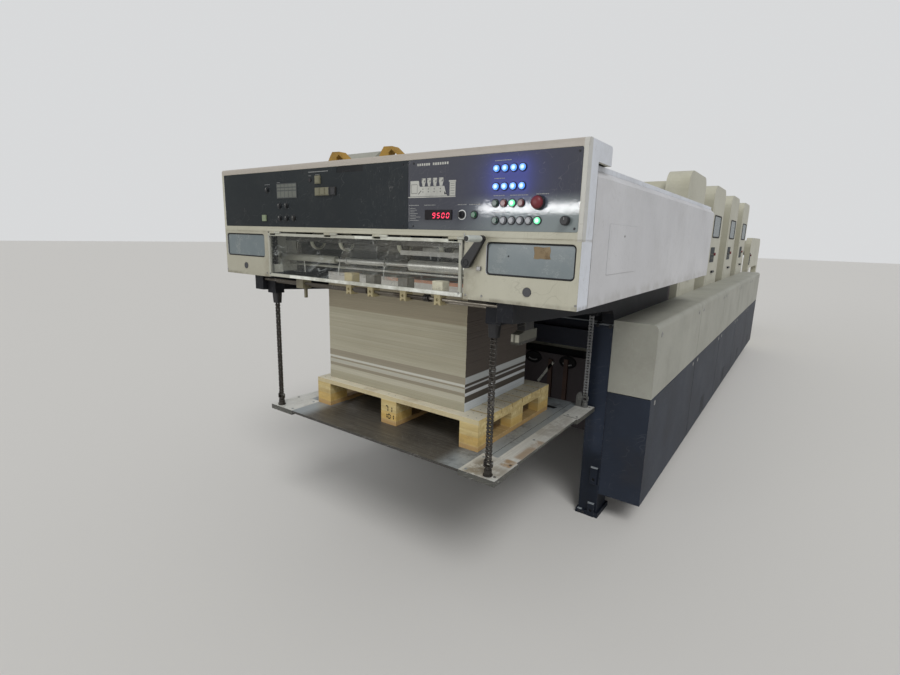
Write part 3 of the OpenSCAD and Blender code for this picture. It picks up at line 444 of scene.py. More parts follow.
# Stack of board and paper: beige-grey edges with batches of darker and whiter sheets near the bottom.
# A band holds its height span, then its tint and strength on the front and on the sides
def sheetStack(name, look):
    material, tree, shader, vector, split = newMaterial(name, Roughness=0.8)
    edges = use(tree, "sheetEdges", vector)
    sideways = looking(tree, 0)
    color = mix(tree, ramp(tree, edges["Broad"], 0.35, 0.65), look["front"], look["frontShade"])
    color = mix(tree, sideways, color, look["side"])
    high = times(tree, across(tree, split[2], look["highZ"]), calc(tree, "SUBTRACT", 1.0, sideways))
    color = mix(tree, high, color, look["top"])
    for span, front, frontAmount, side, sideAmount in look["bands"]:
        zone = within(tree, split, (None, None, span), 1)
        strength = ramp(tree, sideways, 0.0, 1.0, frontAmount, sideAmount)
        color = mix(tree, times(tree, zone, strength), color, mix(tree, sideways, front, side))
    color = mix(tree, times(tree, ramp(tree, edges["Fine"], 0.4, 0.6), 0.16), color, look["gap"])
    # The last sheets are printed: white edges with lines of ink, and plain tinted blocks on the top one
    stripes = ramp(tree, calc(tree, "SINE", times(tree, split[0], 30.0)), 0.0, 0.05)
    blocks = times(tree, ramp(tree, noise(tree, vector, 7.0, 0, 0.5), 0.46, 0.48), stripes)
    topSide = times(tree, looking(tree, 2, 1, 0.6, 0.9), across(tree, split[2], look["topZ"]))
    lines = times(tree, ramp(tree, edges["Broad"], 0.5, 0.56), across(tree, split[0], look["inkX"]))
    inked = times(tree, mix(tree, topSide, lines, blocks), 0.75)
    last = times(tree, across(tree, split[2], look["lastZ"]), 0.9)
    color = mix(tree, last, color, mix(tree, inked, look["sheet"], look["ink"]))
    feed(tree, shader, {"Base Color": color, "Normal": bump(tree, edges["Fine"], 0.45, 0.0006)})
    return material


bareSteel = (178, 178, 174)
edgeLineTint = (150, 156, 160)
navy = {"color": (36, 44, 58), "shade": (28, 35, 47), "dirt": (50, 47, 44), "bare": (112, 114, 116),
        # The under tint is paler than the paint: painted light on faces turned downwards, which lie in shade
        "under": (88, 82, 84), "grime": 0.3, "wear": 0.75, "rough": 0.42, "edge": 0.003, "specular": 0.16,
        "bumpStrength": 0.2, "peel": 240.0, "scratch": 0.15,
        # Painted shade under the hood; the cross beam below it painted paler to make up for its shade
        "areas": [(None, None, (1145, 1388), (17, 18, 22), 0.85, 12),
                  ((-660, 660), (1170, 1300), (980, 1140), (46, 47, 54), 0.8, 4),
                  # Frame faces inside the hood: painted shade deeper in, and painted pale near the front to
                  # make up for the shade there
                  ((-712, 712), (8, 1150), (1400, 1950), (66, 64, 58), 0.95, 4),
                  ((-712, 712), (8, 228), (1400, 1950), (196, 198, 186), 0.95, 4),
                  # Bed front far behind the pile: brownish, and painted paler to make up for the shade there
                  (None, (2400, 2462), None, (84, 77, 78), 0.9, 4),
                  ((700, 765), (1165, 1181), (400, 1140), (50, 58, 74), 0.85, 20),
                  ((-800, 800), (1140, 1320), (-100, 400), (14, 17, 23), 0.8, 80),
                  # Pale lines along the top edges of the flange, the column plates and the feet
                  ((-775, 775), (1140, 1240), (1148.5, 1156), edgeLineTint, 0.75, 0.8),
                  ((712, 755), (1150, 1175), (305.5, 309.5), edgeLineTint, 0.9, 0.6),
                  ((712, 752), (1150, 1175), (79.5, 83.5), edgeLineTint, 0.8, 0.6),
                  ((655, 682), (1140, 1176), (24.5, 28.5), edgeLineTint, 0.9, 0.6)]}
cream = {"color": (187, 185, 168), "shade": (176, 173, 154), "dirt": (118, 112, 94), "bare": (124, 118, 102),
         # The side tint makes faces turned across the press paler and cooler: painted light on the hood's
         # ends
         "side": (213, 217, 225), "grime": 0.16, "wear": 0.25, "rough": 0.3, "edge": 0.003,
         # Areas: painted shade inside the console housing; the top border's brownish grey; a painted
         # highlight on the hood's right edge; the left cheek darker as painted shade
         "areas": [((-985, 985), (6, 205), (1400, 1904.5), (84, 81, 71), 0.92, 1),
                   (None, (-5, 13), (1885.6, 1930), (172, 164, 155), 0.9, 0.8),
                   ((984.5, 1010), (-5, 30), (1600, 1930), (192, 191, 185), 0.85, 1),
                   ((-1010, -600), (-5, 60), (1370, 1604), (150, 146, 130), 0.6, 20)],
         "zones": [(None, None, (1378, 1392), (96, 88, 70), 0.7, 6),
                   ((-660, -600), None, (1380, 1600), (120, 110, 88), 0.45, 20),
                   ((555, 620), None, (1380, 1600), (120, 110, 88), 0.5, 20),
                   ((-1200, 1200), None, (1600, 1607), (118, 108, 84), 0.5, 4)]}
warmGrey = {"color": (158, 158, 148), "shade": (147, 147, 137), "dirt": (108, 102, 90),
            "bare": (176, 174, 166), "grime": 0.2, "wear": 0.45, "rough": 0.38}
paints = {
    "navy_casting": navy,
    "navy_cover": dict(navy, color=(37, 45, 59), shade=(30, 37, 50), specular=0.25, wear=0.5, areas=[],
                       zones=[(None, None, (-100, 120), (20, 23, 30), 0.6, 30)]),
    "cream_panel": cream,
    # Guard frame: faces turned sideways darker as painted shade; the pale bands on the bottom bar and the top
    # rail are painted highlights
    "guard_frame": dict(cream, color=(178, 178, 165), shade=(166, 166, 152), side=(160, 160, 150), areas=[],
                        zones=[((-450, 580), None, (1370, 1402), (232, 234, 226), 0.95, 2),
                               ((0, 560), None, (1582, 1602), (222, 224, 212), 0.9, 2)]),
    # The roof's underside darker: painted shade under the roof
    "roof_cream": dict(cream, under=(62, 60, 52), areas=[], zones=[]),
    # Tower faces turned sideways take their own tint: painted shading by face direction
    "tower_cream": dict(cream, side=(184, 182, 166), areas=[],
                        zones=[(None, None, (1120, 1190), (118, 110, 92), 0.4, 30),
                               (None, None, (-50, 90), (96, 90, 76), 0.5, 50)]),
    "grey_cover": {"color": (203, 203, 206), "shade": (192, 192, 195), "dirt": (140, 136, 128),
                   "bare": (120, 120, 118), "grime": 0.14, "wear": 0.3, "rough": 0.22, "edge": 0.004,
                   "zones": [(None, None, (1375, 1410), (128, 124, 114), 0.45, 30)]},
    "warm_grey_cover": warmGrey,
    "switch_beige": dict(warmGrey, color=(86, 86, 77), shade=(76, 76, 68), specular=0.2,
                         areas=[(None, (100, 109), (1200, 1270), (172, 170, 156), 0.9, 1),
                                (None, None, (1200, 1224), (40, 40, 40), 0.9, 2),
                                (None, None, (1262, 1400), (22, 23, 27), 1.0, 1)]),
    "yellow_clamp": {"color": (176, 136, 38), "shade": (152, 114, 30), "dirt": (78, 60, 30),
                     "bare": (104, 94, 76), "grime": 0.5, "wear": 0.8, "rough": 0.42},
    "black_iron": {"color": (32, 32, 35), "shade": (24, 24, 27), "dirt": (60, 56, 50), "bare": (96, 96, 96),
                   "specular": 0.35, "grime": 0.3, "wear": 0.6, "rough": 0.3, "peel": 200.0,
                   "bumpStrength": 0.35},
    "cream_casting": {"color": (190, 178, 138), "shade": (168, 155, 114), "dirt": (66, 56, 40),
                      "bare": (98, 86, 62), "grime": 0.6, "grimeScale": 14.0, "wear": 0.7, "rough": 0.35,
                      "areas": [((-450, -360), None, None, (104, 100, 82), 0.9, 1),
                                ((35, 100), None, (1386, 1440), (84, 82, 74), 0.95, 1),
                                ((220, 285), None, (1386, 1440), (84, 82, 74), 0.95, 1),
                                ((390, 460), None, (1386, 1440), (216, 213, 190), 0.8, 1)]},
    "rust_brown": {"color": (88, 66, 56), "shade": (64, 50, 44), "dirt": (40, 34, 30), "bare": (120, 96, 78),
                   "grime": 0.5, "wear": 0.5, "rough": 0.6}}
metals = {
    "shaft_steel": {"color": (150, 144, 134), "shade": (108, 102, 92), "dirt": (54, 46, 36),
                    "bare": bareSteel, "grime": 0.55, "grimeScale": 9.0, "wear": 0.4, "metal": 0.8,
                    "rough": 0.2,
                    "areas": [((-710, 360), None, None, (64, 57, 47), 0.9, 30),
                              ((70, 190), None, None, (128, 122, 110), 0.6, 20),
                              ((353, 381), None, None, (16, 16, 19), 0.97, 1)],
                    "matte": [((-710, 50), None, None, 30)]},
    "bright_steel": {"color": (172, 172, 170), "shade": (128, 128, 128), "dirt": (62, 54, 44),
                     "bare": bareSteel, "grime": 0.45, "grimeScale": 8.0, "wear": 0.4, "metal": 0.9,
                     "rough": 0.16},
    "tube_steel": {"color": (208, 208, 200), "shade": (182, 182, 174), "dirt": (110, 106, 94),
                   "bare": bareSteel, "grime": 0.3, "grimeScale": 8.0, "wear": 0.4, "metal": 0.5,
                   "rough": 0.16,
                   "areas": [((-710, -262), None, None, (158, 158, 142), 0.9, 6),
                             # Tubes high inside the hood painted dark: painted shade under the console
                             ((-750, 118), (100, 700), (1508, 1620), (62, 61, 55), 0.94, 2),
                             ((118, 750), (100, 700), (1550, 1620), (92, 91, 84), 0.85, 2)],
                   "matte": [((-710, -262), None, None, 6), ((-750, 750), (100, 700), (1508, 1620), 2)]},
    "board_steel": {"color": (104, 100, 92), "shade": (82, 79, 73), "dirt": (50, 46, 41),
                    # walls: the board's upright faces darker than its top, painted shade
                    "bare": (138, 136, 130), "walls": (60, 58, 54), "grime": 0.8, "grimeScale": 3.2,
                    "wear": 0.5, "metal": 0.3, "rough": 0.36, "streakScale": 90.0, "bumpStrength": 0.3,
                    "areas": [((440, 660), (10, 1160), None, (170, 178, 182), 0.85, 50),
                              ((-660, -440), (10, 1160), None, (170, 178, 182), 0.85, 50)]},
    "end_steel": {"color": (226, 226, 220), "shade": (208, 208, 202), "dirt": (132, 126, 113),
                  # walls: the end plates' upright faces darker than their pale tops, painted shade
                  "bare": (196, 196, 190), "walls": (78, 78, 73), "grime": 0.4, "grimeScale": 6.0,
                  "wear": 0.5, "metal": 0.25, "rough": 0.34, "stretch": (1, 0.05, 1), "streakScale": 90.0,
                  "zones": [((648, 700), (175, 245), None, (168, 132, 86), 0.85, 8),
                            ((665, 705), (275, 510), None, (160, 128, 90), 0.7, 10),
                            ((600, 640), (60, 140), None, (186, 186, 182), 0.6, 10),
                            ((560, 620), (36, 200), None, (108, 96, 74), 0.6, 20),
                            ((560, 720), (20, 160), None, (138, 124, 100), 0.55, 30),
                            ((600, 720), (560, 900), None, (158, 151, 140), 0.5, 50)]},
    "chain_steel": {"color": (62, 58, 53), "shade": (46, 43, 39), "dirt": (28, 24, 20),
                    "bare": (176, 172, 164), "grime": 0.35, "grimeScale": 18.0, "wear": 0.5, "metal": 0.55,
                    "rough": 0.3, "streakScale": 200.0, "edge": 0.0012,
                    # The rear chain painted pale and made matte: a painted highlight for the glint of its
                    # plates
                    "areas": [(None, (1060, 1180), (760, 1600), (150, 152, 154), 0.75, 10),
                              (None, (1060, 1180), (600, 760), (112, 114, 112), 0.7, 4)],
                    "matte": [(None, (1060, 1180), (600, 1600), 10)]},
    "tread_plate": {"color": (150, 152, 154), "shade": (128, 130, 132), "dirt": (84, 80, 74),
                    "bare": (198, 198, 196), "grime": 0.5, "wear": 0.6, "metal": 0.6, "rough": 0.34}}
plastics = {
    "black_plastic": {"color": (24, 25, 30), "shade": (32, 33, 38), "dirt": (66, 64, 60), "rough": 0.35},
    "beige_modules": {"color": (124, 122, 100), "shade": (112, 109, 88), "dirt": (76, 72, 58), "rough": 0.42,
                      "zones": [((-160, -100), None, (1760, 1810), (30, 31, 33), 1.0, 1),
                                ((-540, -380), None, (1755, 1832), (64, 67, 68), 1.0, 1),
                                ((-632, -585), None, (1790, 1815), (26, 28, 32), 1.0, 1),
                                ((-535, -390), None, (1640, 1750), (26, 28, 32), 1.0, 1),
                                ((-300, -275), None, (1820, 1850), (24, 20, 24), 1.0, 1),
                                ((-660, -620), None, (1650, 1690), (126, 138, 110), 1.0, 1),
                                ((500, 1000), None, (1600, 1740), (34, 34, 37), 1.0, 1)]},
    "pale_grip": {"color": (210, 214, 208), "shade": (194, 197, 190), "dirt": (120, 114, 102), "rough": 0.3},
    "plug_grey": {"color": (66, 67, 71), "shade": (56, 57, 61), "dirt": (90, 88, 84), "rough": 0.4},
    "wheel_plastic": {"color": (222, 222, 202), "shade": (206, 206, 184), "dirt": (124, 118, 100),
                      "rough": 0.42, "hub": (250, 1562, 34, (70, 68, 60))},
    "label_grey": {"color": (104, 107, 100), "shade": (94, 97, 90), "dirt": (70, 72, 68), "rough": 0.5},
    # Near black: painted shade in holes, their rims, slots and bores; also seams and stencilled numbers
    "hole_black": {"color": (9, 9, 11), "shade": (12, 12, 14), "dirt": (22, 20, 18), "rough": 0.7},
    "stop_red": {"color": (122, 42, 50), "shade": (102, 36, 44), "dirt": (74, 38, 44), "rough": 0.34},
    "display_window": {"color": (14, 5, 14), "shade": (10, 4, 12), "dirt": (28, 18, 26), "rough": 0.2,
                       "grime": 0.1, "specular": 0.15},
    "slate_acrylic": {"color": (117, 127, 130), "shade": (106, 117, 120), "dirt": (138, 143, 141),
                      "rough": 0.16, "grime": 0.5},
    "mark_white": {"color": (190, 190, 183), "shade": (174, 174, 167), "dirt": (120, 120, 114), "rough": 0.5,
                   "grime": 0.4},
    "mark_grey": {"color": (150, 151, 150), "shade": (140, 141, 140), "dirt": (96, 98, 98), "rough": 0.5},
    "worn_label": {"color": (172, 160, 134), "shade": (126, 106, 78), "dirt": (92, 74, 52), "rough": 0.8,
                   "grime": 1.0},
    "ring_white": {"color": (240, 242, 240), "shade": (228, 230, 228), "dirt": (160, 160, 156), "rough": 0.4,
                   "grime": 0.1},
    # Pale colour for the painted highlights on the deflectors' edges
    "rim_bright": {"color": (236, 238, 232), "shade": (214, 216, 208), "dirt": (150, 148, 136), "rough": 0.2},
    "gasket_rubber": {"color": (34, 35, 38), "shade": (28, 29, 31), "dirt": (66, 64, 58), "rough": 0.7},
    "unit_slate": {"color": (50, 56, 60), "shade": (43, 48, 52), "dirt": (78, 80, 80), "rough": 0.5,
                   "specular": 0.3}}
acrylics = {
    # rim and rimAlpha: the painted highlight on the cut edges
    "clear_guard": {"color": (206, 212, 210), "dirt": (166, 162, 148), "rim": (220, 222, 214),
                    "alpha": 0.025, "haze": 0.04, "scratch": 0.2, "rough": 0.05, "scratchScale": 3.0,
                    "grimeScale": 2.0, "edge": 0.004, "rimAlpha": 0.3},
    "clear_deflector": {"color": (190, 194, 190), "dirt": (150, 142, 122), "rim": (232, 234, 228),
                        "alpha": 0.05, "haze": 0.12, "scratch": 0.3, "rough": 0.08, "scratchScale": 8.0,
                        "grimeScale": 6.0, "edge": 0.005, "rimAlpha": 0.95}}
# Console panels: the pale tint is a painted reflection on the right panel, glow the painted glow round the
# lit buttons
panel = {"slate": (29, 36, 39), "slateShade": (24, 30, 33), "grey": (34, 37, 49), "greyShade": (29, 32, 43),
         "pale": (126, 136, 134), "sheenX": (500, 750), "sheenZ": (1760, 1700), "sheenFootZ": (1680, 1640),
         "dirt": (90, 88, 82), "scratch": (132, 130, 128), "pocket": (17, 19, 21),
         "pocketSpans": ((-113.5, 44.5), None, (1858.5, 1884.5)), "seam": 289,
         "glow": (0.06, 0.09, 0.66, 1.0), "rows": [(682, 782, 1835), (682, 782, 1776)]}
buttons = {"off": (120, 122, 128),
           "caps": [(682, 1721, (24, 62, 52)), (715, 1721, (104, 34, 40)), (781, 1721, (98, 34, 42)),
                    (684, 1664, (28, 66, 54)), (597, 1683, (40, 96, 66))],
           "lit": [([(x, z) for z in (1835, 1776) for x in (682, 715, 748, 781)],
                    (0.02, 0.22, 1.0, 1.0), (0.55, 0.85, 1.0, 1.0)),
                   ([(748, 1721), (844, 1664)], (0.02, 0.65, 0.22, 1.0), (0.75, 1.0, 0.8, 1.0))]}
# Pine zones: lower halves of the blocks, the deck's front edge, painted shade inside the pallet, stained
# boards below
pine = {"color": (220, 204, 152), "shade": (206, 186, 130), "fibre": (188, 164, 108), "deck": (230, 225, 207),
        "dirt": (150, 128, 92), "bare": (226, 212, 168), "deckZ": (815, 820),
        "zones": [(None, None, (701, 742), (204, 164, 78), 0.6, 2),
                  (None, (215, 224), (801.2, 830), (196, 188, 160), 0.6, 0.6),
                  ((-480, 458), (345, 1000), (690, 800), (84, 70, 52), 0.85, 6),
                  (None, None, (670, 699.5), (176, 134, 82), 0.7, 2)]}
paper = {"front": (183, 178, 157), "frontShade": (174, 168, 146), "side": (82, 74, 68),
         "highZ": (1214, 1222), "lastZ": (1363.5, 1364.5), "topZ": (1398, 1401), "inkX": (-120, -20),
         "top": (156, 147, 125), "gap": (70, 62, 50), "sheet": (232, 230, 222), "ink": (222, 136, 84),
         "bands": [((823, 865), (168, 163, 142), 0.9, (212, 218, 222), 1.0),
                   ((866.5, 894.5), (188, 184, 166), 0.8, (76, 70, 62), 0.9),
                   ((896, 911), (140, 131, 114), 0.75, (216, 219, 221), 0.95),
                   ((912.5, 930), (190, 188, 176), 0.85, (70, 64, 57), 0.9),
                   ((931.5, 939.5), (146, 137, 120), 0.75, (198, 200, 201), 0.95),
                   ((940.5, 951.5), (212, 212, 204), 0.8, (68, 62, 55), 0.9),
                   ((953, 985), (142, 133, 116), 0.7, (188, 192, 192), 0.95)]}
digitGlow = {"glow": (1.0, 0.03, 0.10, 1.0), "dim": (0.8, 0.024, 0.08, 1.0), "strength": 2.6}

materials = {}
for make, looks in ((paintedMetal, paints), (bareMetal, metals), (mouldedPlastic, plastics),
                    (clearAcrylic, acrylics), (litDigits, {"digit_red": digitGlow}),
                    (consolePanel, {"slate_panel": panel}), (buttonCaps, {"button_caps": buttons}),
                    (sawnPine, {"pale_pine": pine}), (sheetStack, {"paper": paper})):
    for key, look in looks.items():
        materials[key] = make(key.replace("_", " ") + " finish", look)
print("stage 1: paints, metals, plastics, wood and paper")

nodeMaterials = {"lower_side_covers": "navy_cover", "unit_towers": "tower_cream",
                 "feeder_frame": "tower_cream", "deflectors": "clear_deflector",
                 "guard_frame": "guard_frame", "limit_switch": "switch_beige", "hole_plugs": "plug_grey",
                 "sheet_wheels": "wheel_plastic", "guide_tubes": "tube_steel",
                 "jogger_shafts": "shaft_steel", "hood_roof": "roof_cream"}
for part in frame["record"]["subparts"]:
    mesh = nodes[part["node"]].data
    mesh.materials.clear()
    mesh.materials.append(materials[nodeMaterials.get(part["node"], part["material_slot"])])
print("stage 2: every CAD node has its material")


# One object from a shape's vertices and faces, riding on a body, with the material given, else its slot's
def addPiece(name, shape, body, slotName, material=None, smooth=False):
    verts, faces = shape
    mesh = bpy.data.meshes.new(name)
    mesh.from_pydata(place(verts).tolist(), [], faces)
    mesh.materials.append(materials[material or slotName])
    if smooth:
        mesh.polygons.foreach_set("use_smooth", np.ones(len(mesh.polygons), bool))
    mesh.validate()
    piece = bpy.data.objects.new(name, mesh)
    bpy.context.scene.collection.objects.link(piece)
    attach(piece, body)
    return piece


def joinShapes(shapes):
    verts, faces = [], []
    offset = 0
    for shapeVerts, shapeFaces in shapes:
        verts.append(np.asarray(shapeVerts, float))
        faces += [[i + offset for i in face] for face in shapeFaces]
        offset += len(shapeVerts)
    return np.concatenate(verts), faces


def reversedFaces(faces):
    return [face[::-1] for face in faces]


# A shape and its mirror image in the middle plane x = 0, whose faces are turned round
def mirrored(shape):
    verts, faces = shape
    return joinShapes([shape, (verts * np.array([-1, 1, 1]), reversedFaces(faces))])


# Quads between neighbouring rings: point j of ring i, j + 1 of i, j + 1 of i + 1, j of i + 1. A closed
# run joins its last ring to the first, and an open one gets a face at each end
def ringFaces(rings, size, closed=False):
    i, j = np.meshgrid(np.arange(rings if closed else rings - 1), np.arange(size), indexing="ij")
    nextI, nextJ = (i + 1) % rings, (j + 1) % size
    quads = [i * size + j, i * size + nextJ, nextI * size + nextJ, nextI * size + j]
    faces = np.stack(quads, -1).reshape(-1, 4).tolist()
    if not closed:
        faces += [((rings - 1) * size + np.arange(size)).tolist(), np.arange(size)[::-1].tolist()]
    return faces


# Rows of vectors brought to length 1
def unit(rows):
    return rows / np.maximum(np.linalg.norm(rows, axis=1)[:, None], 1e-6)


# Turned solid: a profile of (radius, height) points is carried round a circle, point (r, h) going to
# (r cos t, r sin t, h); the axis is then laid along x, y or z and one copy is set at each place.
# A profile that runs from its top down to its base is turned round first, so that faces point outwards
def turned(profile, sides, places, axis):
    profile = np.asarray(profile, float)
    ahead = np.roll(profile, -1, 0)
    if np.sum(profile[:, 0] * ahead[:, 1] - ahead[:, 0] * profile[:, 1]) < 0:
        profile = profile[::-1]
    angle = np.linspace(0, 2 * math.pi, sides, endpoint=False)
    radius, height = profile[:, :1], profile[:, 1:]
    ring = np.stack([radius * np.cos(angle), radius * np.sin(angle), height + 0 * angle], -1).reshape(-1, 3)
    ring = ring[:, {"z": (0, 1, 2), "y": (1, 2, 0), "x": (2, 0, 1)}[axis[-1]]]
    faces = ringFaces(len(profile), sides)
    if axis[0] == "-":
        ring[:, "xyz".index(axis[-1])] *= -1
        faces = reversedFaces(faces)
    return joinShapes([(np.array(middle) + ring, faces) for middle in places])


# Plates: each outline of (u, v) points stands from one level to the next, its top edge drawn in by the
# chamfer; facing "y" the outline is (x, z) and it grows towards the viewer, "x" (depth, z), "z" (x, depth)
def plates(outlines, levels, facing, chamfer=0.3):
    low, high = levels
    shapes = []
    for outline in outlines:
        points = np.asarray(outline, float)
        ahead = unit(np.roll(points, -1, 0) - points)
        both = ahead + np.roll(ahead, 1, 0)
        inward = unit(np.stack([-both[:, 1], both[:, 0]], -1))
        u, v = np.concatenate([points, points, points + inward * chamfer]).T
        level = np.repeat([low, high - math.copysign(chamfer, high - low), high], len(points))
        verts = np.stack({"y": (u, level, v), "x": (level, u, v), "z": (u, v, level)}[facing], -1)
        faces = ringFaces(3, len(points))
        shapes.append((verts, reversedFaces(faces) if (facing == "y") != (high < low) else faces))
    return joinShapes(shapes)


# Swept solid: a profile of (u, v) points is carried along a path, point p + u s + v a, where a looks
# away from the face it lies on and s = a x t is square to it and to the path's direction t
def swept(path, profile, closed=False, toward=(0, -1, 0)):
    path, profile, toward = (np.asarray(part, float) for part in (path, profile, toward))
    along = np.roll(path, -1, 0) - np.roll(path, 1, 0) if closed else np.gradient(path, axis=0)
    side = unit(np.cross(toward, unit(along)))
    verts = path[:, None] + profile[:, :1] * side[:, None] + profile[:, 1:] * toward
    return verts.reshape(-1, 3), ringFaces(len(path), len(profile), closed)


# Counter-clockwise outlines: a rectangle whose corners are quarter circles, a plain one, and an oval
def rounded(x0, z0, x1, z1, r, steps=4):
    points = []
    corners = ((x1 - r, z1 - r), (x0 + r, z1 - r), (x0 + r, z0 + r), (x1 - r, z0 + r))
    for quarter, (cx, cz) in enumerate(corners):
        turn = np.radians(np.linspace(quarter * 90, quarter * 90 + 90, steps))
        points += list(zip(cx + r * np.cos(turn), cz + r * np.sin(turn)))
    return points


def oblong(x0, z0, x1, z1):
    return [(x0, z0), (x1, z0), (x1, z1), (x0, z1)]


def oval(u, v, halfU, halfV, sides):
    angle = np.linspace(0, 2 * math.pi, sides, endpoint=False)
    return np.stack([u + halfU * np.cos(angle), v + halfV * np.sin(angle)], -1)


# Line diagram of a four-tower press on the console, cut from flat film
film = (0.5, 0.35)  # printed marks stand from and to these depths
diagram = {"bar": (290, 1746, 513, 1749.8), "base": (1751, 1786), "delivery": (300, 343, 1808), "slope": 484,
           "towers": [(356, 374), (382, 400), (409, 428), (437, 457)], "tower": (1797, 1816), "neck": 4,
           "feeder": (486, 512, 1799), "cap": (482, 514, 1805), "film": (0.5, 0.25)}


def diagramOutlines(d):
    (low, base), (foot, top), (left, right, roof) = d["base"], d["tower"], d["delivery"]
    (f0, f1, feederTop), (c0, c1, capTop) = d["feeder"], d["cap"]
    body = [(left, low), (d["slope"] - 8, low), (d["slope"] - 14, low + 9), (462, base), (right + 4, base),
            (right + 1, base + 6), (right, roof - 3), (right - 3, roof), (left + 1, roof), (left, roof - 2)]
    towers = [[(x0 + d["neck"], base + 0.6), (x1 - d["neck"], base + 0.6), (x1 - 2, foot), (x1, foot + 4),
               (x1, top), (x0, top), (x0, foot + 4), (x0 + 2, foot)] for x0, x1 in d["towers"]]
    feeder = [oblong(f0, low, f1, feederTop), oblong(c0, feederTop + 0.5, c1, capTop)]
    return [rounded(*d["bar"], 0.6), body] + towers + feeder


addPiece("mimicDiagram", plates(diagramOutlines(diagram), diagram["film"], "y", 0.1), "press", "slate_panel",
         "mark_white")

# Dark line work on the diagram: cylinders, ducts and the feeder's tapes, as thin printed bars
ink = {"levels": (0.25, 0.17), "dotZ": (1767, 1777), "dot": 2.2, "line": 1.3, "deliveryZ": (1762, 1794),
       "tapeZ": (1759, 1768, 1777, 1786, 1793), "wedge": [(462, 1756), (474, 1756), (462, 1768)]}


def inkOutlines(d, ink):
    half, thick = ink["dot"], ink["line"]
    (foot, top), (left, right, roof), (f0, f1, feederTop) = d["tower"], d["delivery"], d["feeder"]
    shapes = []
    for x0, x1 in d["towers"]:
        dotX, duct = (x0 + x1) / 2 - 3, (x0 + x1) / 2 + 1
        shapes += [rounded(dotX - half, z - half, dotX + half, z + half, half * 0.9, 3) for z in ink["dotZ"]]
        shapes.append([(duct, foot + 5), (x1 - 3, foot + 5), (x1 - 3, top - 4)])
        shapes.append(oblong(x0 + 2, top - 6, x0 + 5, top - 3))
    shapes += [rounded(left + 5, z, right - 8, z + thick, 0.5, 2) for z in ink["deliveryZ"]]
    shapes += [rounded(x, 1763.5, x + thick, 1793.5, 0.5, 2) for x in (left + 5, right - 8 - thick)]
    shapes.append([(right - 2, 1758), (right + 12, 1771), (right + 10, 1773), (right - 4, 1760)])
    shapes += [rounded(f0 + 4, z, f1 - 4, z + thick, 0.5, 2) for z in ink["tapeZ"]]
    return shapes + [ink["wedge"]]


addPiece("diagramInk", plates(inkOutlines(diagram, ink), ink["levels"], "y", 0.03), "press", "slate_panel",
         "black_plastic")

# Plain caption bars in place of printed words: rows of x from and to, height above the floor and size
captions = {"gap": 1.6, "shortest": 1.5, "dashes": [9.0, 5.5, 12.0, 7.0, 4.5, 10.0], "rows": [
    (673, 739, 1859, 3.0), (673, 714, 1801, 3.0), (673, 716, 1745, 3.0), (737, 808, 1745, 3.0),
    (834, 879, 1747, 3.0), (293, 344, 1717, 3.0), (370, 422, 1717, 3.0), (524, 562, 1717, 3.0),
    (574, 620, 1717, 3.0), (673, 725, 1690, 2.6), (-299, -169, 1868, 3.2), (-252, -222, 1856, 2.0),
    (-298, -282, 1853, 2.0), (-532, -508, 1832, 2.0), (-630, -590, 1825, 2.0)]}


# Each caption is cut into short dashes whose lengths follow the sequence of dashes
def captionOutlines(c):
    shapes = []
    for x0, x1, z, height in c["rows"]:
        x, k = x0, int(abs(x0))
        while x < x1 - 2:
            end = min(x + c["dashes"][k % 6] * height / 3, x1)
            if end - x > c["shortest"]:
                shapes.append(oblong(x, z, end, z + height))
            x, k = end + c["gap"], k + 1
    return shapes


addPiece("captionBars", plates(captionOutlines(captions), film, "y", 0.05), "press", "slate_panel",
         "mark_grey")

title = {"x": (333, 479), "z": (1861, 1870), "block": 7.4, "gap": 3.2, "blank": 6}
starts = np.arange(title["x"][0], title["x"][1] - title["block"], title["block"] + title["gap"])
blocks = [rounded(x, title["z"][0], x + title["block"], title["z"][1], 1.2, 3)
          for k, x in enumerate(starts) if k != title["blank"]]
addPiece("titleBlocks", plates(blocks, film, "y", 0.05), "press", "slate_panel", "mark_white")

# List of index lines at the display's left, under one another beside an upright line
indexMarks = {"top": 1708, "step": 6.4, "x": 300, "thick": 2, "widths": [26, 34, 22, 38, 30, 52, 28, 44],
              "upright": (294, 1658, 296, 1712)}
lines = [oblong(*indexMarks["upright"])]
for k, width in enumerate(indexMarks["widths"]):
    z = indexMarks["top"] - k * indexMarks["step"]
    lines.append(oblong(indexMarks["x"], z - indexMarks["thick"], indexMarks["x"] + width, z))
addPiece("indexLines", plates(lines, film, "y", 0.05), "press", "slate_panel", "mark_grey")

# Cells of the label block on the left panel
labelBlock = {"x": -531, "cell": 28.8, "count": 5, "inset": 1.2, "levels": (-1.5, -1.9),
              "rows": [(1764, 1793), (1797, 1807), (1811, 1824)]}
cells = [rounded(labelBlock["x"] + k * labelBlock["cell"] + labelBlock["inset"], low,
                 labelBlock["x"] + (k + 1) * labelBlock["cell"] - labelBlock["inset"], high, 1.5)
         for low, high in labelBlock["rows"] for k in range(labelBlock["count"])]
addPiece("labelCells", plates(cells, labelBlock["levels"], "y", 0.15), "press", "beige_modules", "label_grey")

# Seven-segment digits of plain bars with pointed ends: each point leans by (height + 2) times lean
digits = {"value": "9500", "x": 411, "step": 21.5, "low": 1672, "height": 17, "width": 11, "bar": 1.8,
          "lean": 0.14, "segments": {"9": "abcdfg", "5": "acdfg", "0": "abcdef", "7": "abc", "1": "bc"}}


